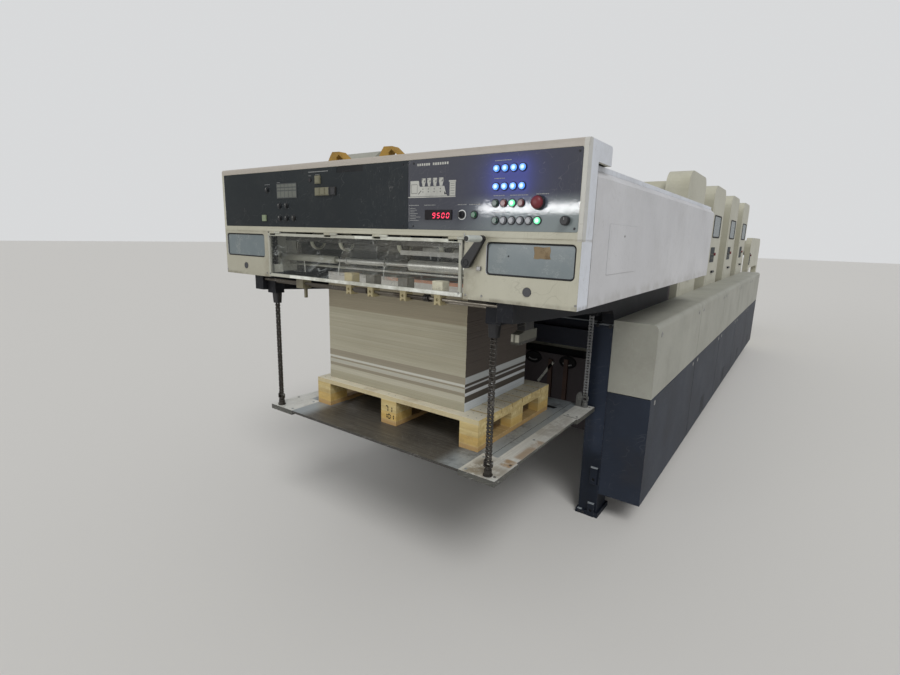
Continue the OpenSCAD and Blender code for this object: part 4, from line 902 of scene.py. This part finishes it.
def digitOutlines(d):
    w, h, b = d["width"], d["height"], d["bar"] / 2
    bars = {"a": (0, h, w, h), "b": (w, h / 2, w, h), "c": (w, 0, w, h / 2), "d": (0, 0, w, 0),
            "e": (0, 0, 0, h / 2), "f": (0, h / 2, 0, h), "g": (0, h / 2, w, h / 2)}
    shapes = []
    for k, letter in enumerate(d["value"]):
        for xa, za, xb, zb in (bars[name] for name in d["segments"][letter]):
            if za == zb:
                points = [(xa + 1, za), (xa + 2, za - b), (xb - 2, za - b), (xb - 1, za), (xb - 2, za + b),
                          (xa + 2, za + b)]
            else:
                points = [(xa, za + 0.8), (xa + b, za + 1.8), (xa + b, zb - 1.8), (xa, zb - 0.8),
                          (xa - b, zb - 1.8), (xa - b, za + 1.8)]
            left = d["x"] + k * d["step"]
            shapes.append([(left + u + (v + 2) * d["lean"], d["low"] + v) for u, v in points])
    return shapes


addPiece("speedDigits", plates(digitOutlines(digits), (-2.5, -2.8), "y", 0.1), "press", "display_window",
         "digit_red")

# Dark bezels round the push buttons, and a white ring round the selector
bezels = {"grid": [(x, z) for z in (1835, 1776, 1721) for x in (682, 715, 748, 781)]
          + [(684 + 32 * k, 1664) for k in range(6)] + [(597, 1683)],
          "profile": [(12.05, 0), (14.6, 0), (14.6, 3.0), (13.8, 4.2), (12.6, 4.6), (12.05, 4.2),
                      (12.05, 0.2)]}
bezelPlaces = [(x, 0.5, z) for x, z in bezels["grid"]]
addPiece("buttonBezels", turned(bezels["profile"], 28, bezelPlaces, "-y"), "press", "black_plastic")
selectorRing = [(14.2, 0), (17.8, 0), (17.8, 0.9), (17.3, 1.4), (14.7, 1.4), (14.2, 0.9), (14.2, 0.1)]
addPiece("selectorRing", turned(selectorRing, 40, [(544, 0.5, 1683)], "-y"), "press", "beige_modules",
         "ring_white")

# Small knobs of the left panel: seven ticks round each, and a pointer
smallKnobs = {"middles": [(-609, 1802), (-516, 1726), (-464, 1726), (-516, 1668), (-464, 1668), (-412, 1668)],
              "angles": [-135, -90, -45, 0, 45, 90, 135], "reach": 17, "tick": 0.9}
ticks = [(x + smallKnobs["reach"] * math.sin(a), z + smallKnobs["reach"] * math.cos(a))
         for x, z in smallKnobs["middles"] for a in np.radians(smallKnobs["angles"])]
tick = smallKnobs["tick"]
tickDots = [rounded(x - tick, z - tick, x + tick, z + tick, 0.8, 3) for x, z in ticks]
addPiece("knobTicks", plates(tickDots, (0.5, 0.3), "y", 0.05), "press", "slate_panel", "mark_grey")
pointers = [rounded(x - 1.1, z + 2, x + 1.1, z + 9, 0.5, 2) for x, z in smallKnobs["middles"]]
addPiece("knobPointers", plates(pointers, (-9.5, -9.9), "y", 0.1), "press", "beige_modules", "mark_white")
moduleCaps = {"pale": [(-249, 1770, -223, 1798), (-215, 1770, -189, 1798), (-181, 1770, -155, 1798),
                       (-248, 1821, -220, 1849)],
              "dark": (-147, 1770, -121, 1798), "radius": 2, "paleLevels": (-5.5, -7.2),
              "darkLevels": (-5.5, -7.6)}
paleCaps = [rounded(*cap, moduleCaps["radius"]) for cap in moduleCaps["pale"]]
addPiece("moduleCaps", plates(paleCaps, moduleCaps["paleLevels"], "y", 0.6), "press", "beige_modules")
darkCap = rounded(*moduleCaps["dark"], moduleCaps["radius"])
addPiece("moduleCapDark", plates([darkCap], moduleCaps["darkLevels"], "y", 0.8), "press", "beige_modules",
         "black_plastic")

# Mushroom cap and its black collar, and the round knob with its pointer, in place of the CAD's simpler ones
stopButton = {"middle": (847, 0, 1721),
              "cap": [(0.001, 34), (8, 33.4), (14, 31.2), (18.5, 27), (20.5, 22.5), (20.9, 18.5), (20, 15.6),
                      (17, 14), (0.001, 14)],
              "collar": [(0.001, 14), (19.5, 14), (22.6, 13), (23.6, 11), (23.6, 5.2), (22.8, 4.5),
                         (0.001, 4.5)]}
stopCap = addPiece("stopCap", turned(stopButton["cap"], 40, [stopButton["middle"]], "-y"), "stop_button",
                   "stop_red", smooth=True)
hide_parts("stop_button")
addPiece("stopCollar", turned(stopButton["collar"], 40, [stopButton["middle"]], "-y"), "stop_button",
         "black_plastic")
knobCap = {"middle": (943, -5.5, 1664), "pointer": (942, 1666, 944, 1675), "levels": (-20.5, -20.9),
           "profile": [(0.001, 15), (11.8, 15), (13.9, 13.6), (14.8, 11), (15.2, 1.2), (15.2, 0), (0.001, 0)]}
speedKnob = addPiece("speedKnobCap", turned(knobCap["profile"], 36, [knobCap["middle"]], "-y"), "speed_knob",
                     "black_plastic")
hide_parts("speed_knob")
addPiece("speedKnobPointer", plates([rounded(*knobCap["pointer"], 0.8, 2)], knobCap["levels"], "y", 0.1),
         "speed_knob", "black_plastic", "mark_grey")
print("stage 3: console marks and bezels")

# Screws: a low domed head with a recess, drawn as a turned profile that dips in the middle
screw = np.array([(0.001, 0.9), (1.6, 0.9), (1.9, 2.2), (3.2, 2.2), (4.0, 1.5), (4.3, 0), (0.001, 0)])
panelScrews = [(x, 0.5, z) for x in (-975, -345, 262, 316, 972) for z in (1640, 1872)]
addPiece("panelScrews", turned(screw * 0.9, 12, panelScrews, "-y"), "press", "black_plastic")
cheekScrews = [(x, 0, 1398) for x in (640, 995, -640, -995)] + [(570, 0, 1396), (570, 0, 1590)]
addPiece("cheekScrews", turned(screw, 12, cheekScrews, "-y"), "press", "bright_steel")
guardScrews = [(x, -8, z) for x in (-602, 545) for z in (1400, 1580)]
addPiece("guardScrews", turned(screw, 12, guardScrews, "-y"), "guard", "bright_steel")

# Crank: a recessed cover disc on the hub and the grip's dark end cap
crank = {"hub": (585, -30, 1515), "gripEnd": (646, -120, 1600.5),
         "hubCap": [(0.001, 1.0), (6.5, 1.0), (7.0, 2.6), (11.5, 2.6), (13.0, 1.6), (13.4, 0), (0.001, 0)],
         "gripCap": [(0.001, 0.9), (3.0, 0.9), (3.3, 2.0), (7.2, 2.0), (8.4, 1.2), (8.8, 0), (0.001, 0)]}
addPiece("crankCap", turned(crank["hubCap"], 32, [crank["hub"]], "-y"), "crank", "black_iron")
addPiece("gripEndCap", turned(crank["gripCap"], 28, [crank["gripEnd"]], "-y"), "crank", "pale_grip",
         "black_iron")

# Windows of the cheeks: a worn square label, a plain vent screw, and a rubber gasket whose half-round
# profile is carried along the opening's rounded outline
label = [(838, 1558), (836, 1541), (848, 1539), (861, 1542), (880, 1540), (897, 1541), (893, 1552),
         (896, 1568), (892, 1581), (868, 1578), (846, 1581), (834, 1579)]
addPiece("wornLabel", plates([label], (5, 4.6), "y", 0.1), "press", "slate_acrylic", "worn_label")
addPiece("windowScrew", turned(screw * 0.7, 12, [(740, 5, 1544)], "-y"), "press", "black_plastic")
gasket = {"opening": (656, 1478, 982, 1588), "radius": 13, "depth": 5.0,
          "profile": [(3.2, 0), (2.4, 1.6), (0, 2.4), (-2.4, 1.6), (-3.2, 0)]}
gasketPath = np.insert(rounded(*gasket["opening"], gasket["radius"], 6), 1, gasket["depth"], 1)
gaskets = [swept((gasketPath * (side, 1, 1))[::side], gasket["profile"], closed=True) for side in (1, -1)]
addPiece("windowGaskets", joinShapes(gaskets), "press", "slate_acrylic", "gasket_rubber")

# Painted highlights on the clear deflectors' cut edges, as thin pale tubes: x = x0 + bulge (1 - t)^2 down to
# the tip, t from 0.5 to 1
deflector = {"edges": [(-290, 70, 1), (10, 50, 1), (545, 55, -1)], "tip": 1402, "top": 1580, "depth": 159.8}
t = np.linspace(0.5, 1, 24)
z = deflector["top"] + (deflector["tip"] - deflector["top"]) * t
rims = []
for x0, bulge, side in deflector["edges"]:
    x = (x0 + bulge * (1 - t) ** 2) * side
    rims.append(swept(np.stack([x, np.full_like(t, deflector["depth"]), z], -1), oval(0, 0, 2.4, 2.4, 8)))
addPiece("deflectorEdgeHighlights", joinShapes(rims), "press", "clear_guard", "rim_bright")

# Polished sleeve on the cross shaft, with a collar at each end
shaftSleeve = {"start": (-208, 140, 1478),
               "profile": [(9.2, 0), (16.5, 0), (17, 0.6), (17, 9), (16.4, 9.6), (13.6, 9.6), (13.6, 242),
                           (16.4, 242), (17, 242.6), (17, 251), (16.5, 252), (9.2, 252)]}
addPiece("polishedSleeve", turned(shaftSleeve["profile"], 32, [shaftSleeve["start"]], "x"), "press",
         "bright_steel", "tube_steel")
print("stage 4: crank, screws, window and deflectors")

# Side cover: a flap door and its screw
flap = {"outline": (252, 1484, 604, 1664), "radius": 6, "levels": (1000, 1001.2), "screw": (1001, 431, 1623)}
flapDoor = plates([rounded(*flap["outline"], flap["radius"])], flap["levels"], "x", 0.5)
addPiece("flapDoors", mirrored(flapDoor), "press", "grey_cover")
addPiece("flapScrews", mirrored(turned(screw, 14, [flap["screw"]], "x")), "press", "bright_steel")
print("stage 5: side cover")

# Chain pins: riveted heads on the outer plates of each chain's visible length, from its socket upwards
chain = {"x": 661, "half": 12, "first": 733, "pitch": 15.875, "front": 67, "rear": 1116, "frontTop": 1284,
         "rearTop": 1198, "head": [(2.5, 0), (2.5, 0.6), (1.6, 1.1), (0.001, 1.2)]}
heads = [(depth, z) for depth, top in ((chain["front"], chain["frontTop"]), (chain["rear"], chain["rearTop"]))
         for z in np.arange(chain["first"] + chain["pitch"], top, chain["pitch"])]
pins = [turned(chain["head"], 8, [(chain["x"] + face, d, z) for d, z in heads], axis)
        for face, axis in ((chain["half"], "x"), (-chain["half"], "-x"))]
addPiece("chainPins", mirrored(joinShapes(pins)), "hoist", "chain_steel")

# Tapered sleeve under each front guide: the chain's upper end stays inside it when the board is lowest
chainSleeve = {"half": (17, 12), "corner": 4, "top": 1292.5, "profile": [(-2, 0), (6, 0), (2, 54), (-2, 54)]}
halfX, halfDepth = chainSleeve["half"]
sleeveOutline = rounded(chain["x"] - halfX, chain["front"] - halfDepth, chain["x"] + halfX,
                        chain["front"] + halfDepth, chainSleeve["corner"])
sleevePath = np.insert(sleeveOutline, 2, chainSleeve["top"], 1)
chainSleeves = mirrored(swept(sleevePath, chainSleeve["profile"], closed=True, toward=(0, 0, -1)))
addPiece("chainSleeves", chainSleeves, "press", "navy_casting", "black_iron")

# Locknuts and fork pins at the sockets, and screws, slots and seams on the board's ends; the slots are dark
# plates, painted shade
sockets = {"places": [(side * 661, d) for side in (1, -1) for d in (67, 1116)],
           "nut": [(6, 0), (13.6, 0), (14.4, 0.8), (14.4, 6.0), (13.6, 6.8), (6, 6.8)], "nutZ": 705,
           "pin": [(0.001, 0), (4.6, 0), (4.6, 2.2), (3.8, 3.0), (0.001, 3.0)], "pinX": 17.3, "pinZ": 733}
lockNuts = [(x, d, sockets["nutZ"]) for x, d in sockets["places"]]
addPiece("lockNuts", turned(sockets["nut"], 6, lockNuts, "z"), "hoist", "chain_steel")
forkPins = [(x + sockets["pinX"], d, sockets["pinZ"]) for x, d in sockets["places"]]
addPiece("forkPinHeads", mirrored(turned(sockets["pin"], 16, forkPins, "x")), "hoist", "bright_steel")
board = {"top": 677, "screw": [(0.001, 0.2), (2.2, 0.2), (2.6, 0.8), (6.0, 0.8), (7.0, 0)],
         "screws": [(584, 801), (648, 505), (690, 71), (560, 60), (560, 200), (690, 200), (690, 930),
                    (640, 930), (690, 1120)],
         "slot": [(470, 978), (540, 974), (540, 1006), (470, 1010)],
         "seam": [(622, 908), (719, 900), (719, 904), (622, 912)]}
boardScrews = [(side * x, d, board["top"]) for side in (1, -1) for x, d in board["screws"]]
addPiece("boardScrews", turned(board["screw"], 14, boardScrews, "z"), "hoist", "board_steel")
boardSlot = plates([board["slot"]], (board["top"], board["top"] + 0.4), "z", 0.1)
addPiece("boardSlots", mirrored(boardSlot), "hoist", "board_steel", "hole_black")
boardSeam = plates([board["seam"]], (board["top"], board["top"] + 0.3), "z", 0.05)
addPiece("boardSeams", mirrored(boardSeam), "hoist", "end_steel", "hole_black")
print("stage 6: chains and board")

# Sheet stack: four walls as a grid of height rows. A row is pushed out by 0.7 times its batch's step and
# 0.25 times its own, less the inset, plus a ripple of 0.3 sin(0.021 x + 0.017 depth) times a slower step,
# and slides across by 0.4 times that step; nothing leaves the pile's box
stack = {"x": (-494, 406), "depth": (270, 853), "z": (823, 1404), "rowStep": 2.0, "columns": 24, "inset": 1.2,
         "batchRows": 9, "turnRows": 14, "seed": 7}


def pileWalls(p):
    (x0, x1), (d0, d1), (low, high) = p["x"], p["depth"], p["z"]
    rows = int((high - low) / p["rowStep"]) + 1
    random = np.random.default_rng(p["seed"])
    batch = np.repeat(random.uniform(-1, 1, rows // p["batchRows"] + 2), p["batchRows"])[:rows]
    fine = random.uniform(-1, 1, rows)
    turn = np.repeat(random.uniform(-1, 1, rows // p["turnRows"] + 2), p["turnRows"])[:rows]
    push = -p["inset"] + 0.7 * batch + 0.25 * fine
    corners = np.array(oblong(x0, d0, x1, d1), float)
    along = np.linspace(0, 1, p["columns"], endpoint=False)[:, None]
    points = (corners[:, None] + along * (np.roll(corners, -1, 0) - corners)[:, None]).reshape(-1, 2)
    outward = np.repeat([(0, -1), (1, 0), (0, 1), (-1, 0)], p["columns"], 0)
    ripple = 0.3 * np.sin(points[:, 0] * 0.021 + points[:, 1] * 0.017)
    out = push[:, None] + ripple * turn[:, None]
    x = np.clip(points[:, 0] + out * outward[:, 0] + 0.4 * turn[:, None], x0, x1)
    d = np.clip(points[:, 1] + out * outward[:, 1], d0, d1)
    z = np.repeat(np.linspace(low, high, rows)[:, None], len(points), 1)
    return np.stack([x, d, z], -1).reshape(-1, 3), ringFaces(rows, len(points))


pile = addPiece("sheetPile", pileWalls(stack), "hoist", "paper")
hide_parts("paper_pile")

# Pallet nails, two at each crossing of a deck board and a block, where the pile leaves them bare
nails = {"x": (-490, -13, 464), "apart": (-22, 22), "first": 220, "pitch": 103.5, "boards": 7,
         "inset": (26, 70), "head": [(0.001, 0.5), (2.6, 0.5), (3.0, 0)], "z": 823}
nailPlaces = [(x + dx, nails["first"] + k * nails["pitch"] + dd, nails["z"]) for x in nails["x"]
              for dx in nails["apart"] for k in range(nails["boards"]) for dd in nails["inset"]]
nailPlaces = [(x, d, z) for x, d, z in nailPlaces if not (-496 < x < 408 and 268 < d < 855)]
addPiece("palletNails", turned(nails["head"], 8, nailPlaces, "z"), "hoist", "bright_steel")
stencils = [dict(digits, value="71", x=-32, step=26, low=744, height=26, width=15, bar=5.5, lean=0.0),
            dict(digits, value="101", x=-38, step=22, low=708, height=22, width=14, bar=5.5, lean=0.0)]
stencilBars = [bar for stencil in stencils for bar in digitOutlines(stencil)]
addPiece("palletNumbers", plates(stencilBars, (220, 219.6), "y", 0.05), "hoist", "pale_pine", "hole_black")
print("stage 7: pile and pallet")

# Bolts on the frames: hexagon heads on a washer
hexBolt = np.array([(11.5, 0), (11.5, 1.6), (8.2, 1.6), (8.2, 7.0), (7.2, 8.0), (0.001, 8.0)])
columnBolts = [(side * x, 1165, 1143) for side in (1, -1) for x in (680, 752)]
addPiece("columnBolts", turned(hexBolt, 6, columnBolts, "-y"), "press", "navy_casting", "black_iron")
footBolts = [(side * x, 1158, 12) for side in (1, -1) for x in (668, 690)]
addPiece("footBolts", turned(hexBolt * 0.7, 6, footBolts, "-y"), "press", "navy_casting", "black_iron")

# Front of the first bed, far behind the pile: two oval hand holes, black plates with dark rims as painted
# shade, a pale lip low in each as a painted highlight, a bright stay and two uprights
bedFront = {"depth": 2450, "holes": [(-306, 566), (16, 566)], "half": (70, 46), "lip": (48, 26),
            "lipArc": (3.6, 5.6), "stay": [(-244, 352), (-113, 548)], "stayProfile": oblong(-11, -8, 11, 8),
            "uprights": [(-140, 180, 570), (4, 200, 590)],
            "uprightProfile": [(-22, -8), (22, -8), (18, 8), (-18, 8)]}
depth = bedFront["depth"]
holes = [oval(x, z, *bedFront["half"], 40) for x, z in bedFront["holes"]]
rims = [swept(np.insert(hole, 1, depth - 3, 1), oval(0, 0, 9, 9, 8), closed=True) for hole in holes]
addPiece("handHoleRimShadows", joinShapes(rims), "press", "navy_casting", "hole_black")
addPiece("handHoleShadows", plates(holes, (depth, depth - 1.5), "y", 0.4), "press", "navy_casting", "hole_black")
lipX, lipZ = bedFront["lip"]
arc = np.linspace(*bedFront["lipArc"], 16)
lips = [swept(np.stack([x + lipX * np.cos(arc), np.full_like(arc, depth - 4), z + lipZ * np.sin(arc)], -1),
              oval(0, 0, 6, 6, 8)) for x, z in bedFront["holes"]]
addPiece("handHoleLipHighlights", joinShapes(lips), "press", "navy_casting", "mark_grey")
stayPath = np.insert(np.linspace(*bedFront["stay"], 4), 1, depth - 8, 1)
addPiece("bedStay", swept(stayPath, bedFront["stayProfile"]), "press", "bright_steel", "tube_steel")
uprights = [swept([(x, depth - 8, low), (x, depth - 8, (low + high) / 2), (x, depth - 8, high)],
                  bedFront["uprightProfile"]) for x, low, high in bedFront["uprights"]]
addPiece("bedUprights", joinShapes(uprights), "press", "navy_casting", "rust_brown")

# Dark discs behind the round holes of the columns and of their screwed plates: painted shade in the bores
bores = {"profile": [(0.001, 0.6), (8.8, 0.6), (8.8, 0)],
         "places": [(706, 1178, 564), (729, 1178, 624), (730, 1178, 436), (730, 1163, 37), (730, 1163, 235)]}
borePlaces = [(side * x, d, z) for side in (1, -1) for x, d, z in bores["places"]]
addPiece("boltBoreShadows", turned(bores["profile"], 16, borePlaces, "-y"), "press", "navy_casting", "hole_black")

# Latches along the two-coloured side covers, two to each end of a bay, and cooling slots in each unit's
unitPitch, deliveryLen, towerLen = 1230, 2450, 720
unitStarts = [deliveryLen + k * unitPitch for k in range(4)]
bays = [(1170, deliveryLen)] + [(start, start + unitPitch) for start in unitStarts]
latch = {"inset": 90, "z": (740, 1120),
         "profile": [(15, 0), (15, 1.2), (13.6, 2.4), (9.5, 2.4), (9.0, 1.4), (0.001, 1.4)]}
latchPlaces = [(1000, d, z) for start, end in bays for d in (start + latch["inset"], end - latch["inset"])
               for z in latch["z"]]
addPiece("coverLatches", mirrored(turned(latch["profile"], 20, latchPlaces, "x")), "press", "bright_steel")
# The cooling slots are dark plates: painted shade in their openings
slots = {"half": 90, "z": range(190, 311, 24), "height": 8, "radius": 3.5, "levels": (1000, 1000.6)}
slotStarts = [start + unitPitch / 2 - slots["half"] for start in unitStarts]
slotOutlines = [rounded(start, z, start + 2 * slots["half"], z + slots["height"], slots["radius"])
                for start in slotStarts for z in slots["z"]]
addPiece("coolingSlots", mirrored(plates(slotOutlines, slots["levels"], "x", 0.2)), "press", "navy_casting",
         "hole_black")

# Tower sides, the same on each: a door with a window and a grip, and a plate with plain caps and a stop
towers = {"door": (70, 1215, 650, 1960), "window": (150, 1660, 570, 1870), "grip": (300, 1300, 420, 1322),
          "plate": (150, 1410, 390, 1560),
          "caps": [(x, z) for x in (190, 230, 270, 310) for z in (1450, 1488)],
          "seal": [(7, 0), (5, 3.5), (0, 5), (-5, 3.5), (-7, 0)], "stop": (350, 1490),
          "cap": [(9.5, 0), (9.5, 3.0), (8.6, 4.2), (6.0, 4.8), (0.001, 4.8)],
          "stopCap": [(10, 0), (10, 8), (17, 9), (18, 12), (15, 17), (8, 19.5), (0.001, 20)]}
feeder = {"plate": (8300, 1250, 8430, 1450), "levels": (750, 752.5), "stop": (752.5, 8365, 1410),
          "caps": [(752.5, 8335 + 30 * i, 1290 + 36 * j) for i in range(3) for j in range(3)]}
towerFronts = [start + (unitPitch - towerLen) / 2 for start in unitStarts]


# An outline moved to each tower
def onTowers(key, radius):
    a, low, b, high = towers[key]
    return [rounded(d + a, low, d + b, high, radius, 6) for d in towerFronts]


for name, key, radius, levels, chamfer, *finish in (
        ("towerDoors", "door", 30, (765, 767), 0.8, "cream_panel", "tower_cream"),
        ("towerWindows", "window", 24, (767, 768), 0.4, "slate_acrylic"),
        ("towerGrips", "grip", 8, (766, 785), 3, "black_plastic"),
        ("towerPlates", "plate", 8, (767, 769.5), 0.8, "slate_panel", "unit_slate")):
    addPiece(name, mirrored(plates(onTowers(key, radius), levels, "x", chamfer)), "press", *finish)
feederPlate = plates([rounded(*feeder["plate"], 8)], feeder["levels"], "x", 0.8)
addPiece("feederPlates", mirrored(feederPlate), "press", "slate_panel", "unit_slate")
seals = [swept(np.insert(outline, 0, 768, 1), towers["seal"], closed=True, toward=(1, 0, 0))
         for outline in onTowers("window", 24)]
addPiece("towerWindowSeals", mirrored(joinShapes(seals)), "press", "slate_acrylic", "gasket_rubber")
capPlaces = [(769.5, d + u, z) for d in towerFronts for u, z in towers["caps"]] + feeder["caps"]
addPiece("unitCaps", mirrored(turned(towers["cap"], 20, capPlaces, "x")), "press", "button_caps",
         "label_grey")
stopDepth, stopZ = towers["stop"]
stopPlaces = [(769.5, d + stopDepth, stopZ) for d in towerFronts] + [feeder["stop"]]
addPiece("unitStops", mirrored(turned(towers["stopCap"], 28, stopPlaces, "x")), "press", "stop_red")
print("stage 8: bolts, latches and towers")

# Tread pattern: short raised bars on the footboards between the units, laid at 45 degrees by turns
tread = {"step": 60, "half": (13, 3), "levels": (632, 633.6), "reach": 245, "xEnd": 720}
bar = np.array([(-1, 0), (-0.6, -1), (0.6, -1), (1, 0), (0.6, 1), (-0.6, 1)]) * tread["half"]
slant = math.sqrt(0.5)
turns = [np.array([(slant, -slant), (slant, slant)]), np.array([(slant, slant), (-slant, slant)])]
bars = []
for middle in (start + unitPitch for start in unitStarts):
    last = min(middle + tread["reach"], unitStarts[-1] + unitPitch)
    for i, x in enumerate(np.arange(-tread["xEnd"], tread["xEnd"] + 1, tread["step"])):
        for j, d in enumerate(np.arange(middle - tread["reach"] + 40, last - 30, tread["step"])):
            bars.append((x, d) + bar @ turns[(i + j) % 2])
addPiece("treadBars", plates(bars, tread["levels"], "z", 0.8), "press", "tread_plate")
print("stage 9: treads")


# An object without a body: the floor, a lamp or the camera
def addHolder(name, data):
    holder = bpy.data.objects.new(name, data)
    bpy.context.scene.collection.objects.link(holder)
    return holder


# Studio: pale floor, two soft suns and an even sky; a strip lamp whose reflection lies on the panel
floor = {"half": 60.0, "color": (214, 212, 208)}
floorMesh = bpy.data.meshes.new("studioFloor")
half = floor["half"]
floorMesh.from_pydata([(x, y, 0) for x, y in oblong(-half, -half, half, half)], [], [(0, 1, 2, 3)])
floorMesh.materials.append(newMaterial("studioFloor", Roughness=0.8, Base_Color=floor["color"])[0])
floorObject = addHolder("studioFloor", floorMesh)

sky = {"color": (0.86, 0.87, 0.88, 1), "onPress": 0.55, "inView": 0.8}
world = bpy.data.worlds.new("studio")
bpy.context.scene.world = world
world.use_nodes = True
tree = world.node_tree
tree.nodes.clear()
onPress, inView = (put(tree, "Background", {"Color": sky["color"], "Strength": sky[key]}).outputs[0]
                   for key in ("onPress", "inView"))
isCameraRay = put(tree, "LightPath").outputs["Is Camera Ray"]
skyMix = put(tree, "MixShader", {0: isCameraRay, 1: onPress, 2: inView})
put(tree, "OutputWorld", {0: skyMix.outputs[0]})

for name, direction, strength, angle in (("keySun", (0.55, -0.55, 0.9), 1.35, 25),
                                         ("fillSun", (-0.45, -0.9, 0.13), 0.5, 30)):
    lamp = bpy.data.lights.new(name, "SUN")
    lamp.energy, lamp.angle = strength, math.radians(angle)
    sun = addHolder(name, lamp)
    sun.rotation_mode = "QUATERNION"
    sun.rotation_quaternion = Vector(direction).to_track_quat("Z", "Y")

strip = {"middle": (-0.66, frontY - 3.0, 1.89), "size": (1.25, 0.072), "power": 15}
lamp = bpy.data.lights.new("sheenStrip", "AREA")
lamp.shape = "RECTANGLE"
lamp.size, lamp.size_y = strip["size"]
lamp.energy = strip["power"]
stripLamp = addHolder("sheenStrip", lamp)
stripLamp.location = strip["middle"]
stripLamp.rotation_euler = (math.radians(90), 0, 0)
stripLamp.visible_diffuse = False
stripLamp.visible_camera = False

# Camera: turned left of +Y by yaw, down by pitch and rolled, as the photograph was taken
view = {"place": (1.584, -6.468, 1.610), "angles": (35.38, 11.65, 1.55), "focal": 496.1, "width": 900}
yaw, pitch, roll = np.radians(view["angles"])
right = np.array([math.cos(yaw), math.sin(yaw), 0])
ahead = np.array([-math.sin(yaw) * math.cos(pitch), math.cos(yaw) * math.cos(pitch), -math.sin(pitch)])
up = np.cross(right, ahead)
rightRolled = math.cos(roll) * right + math.sin(roll) * up
upRolled = math.cos(roll) * up - math.sin(roll) * right
cameraData = bpy.data.cameras.new("photoCamera")
cameraData.sensor_width = 36
cameraData.lens = cameraData.sensor_width * view["focal"] / view["width"]
cameraData.clip_end = 100
photoCamera = addHolder("photoCamera", cameraData)
turnMatrix = Matrix(np.stack([rightRolled, upRolled, -ahead], 1).tolist()).to_4x4()
photoCamera.matrix_world = Matrix.Translation(view["place"]) @ turnMatrix
bpy.context.scene.camera = photoCamera
bpy.context.scene.view_settings.view_transform = "Standard"
print("stage 10: studio and camera")
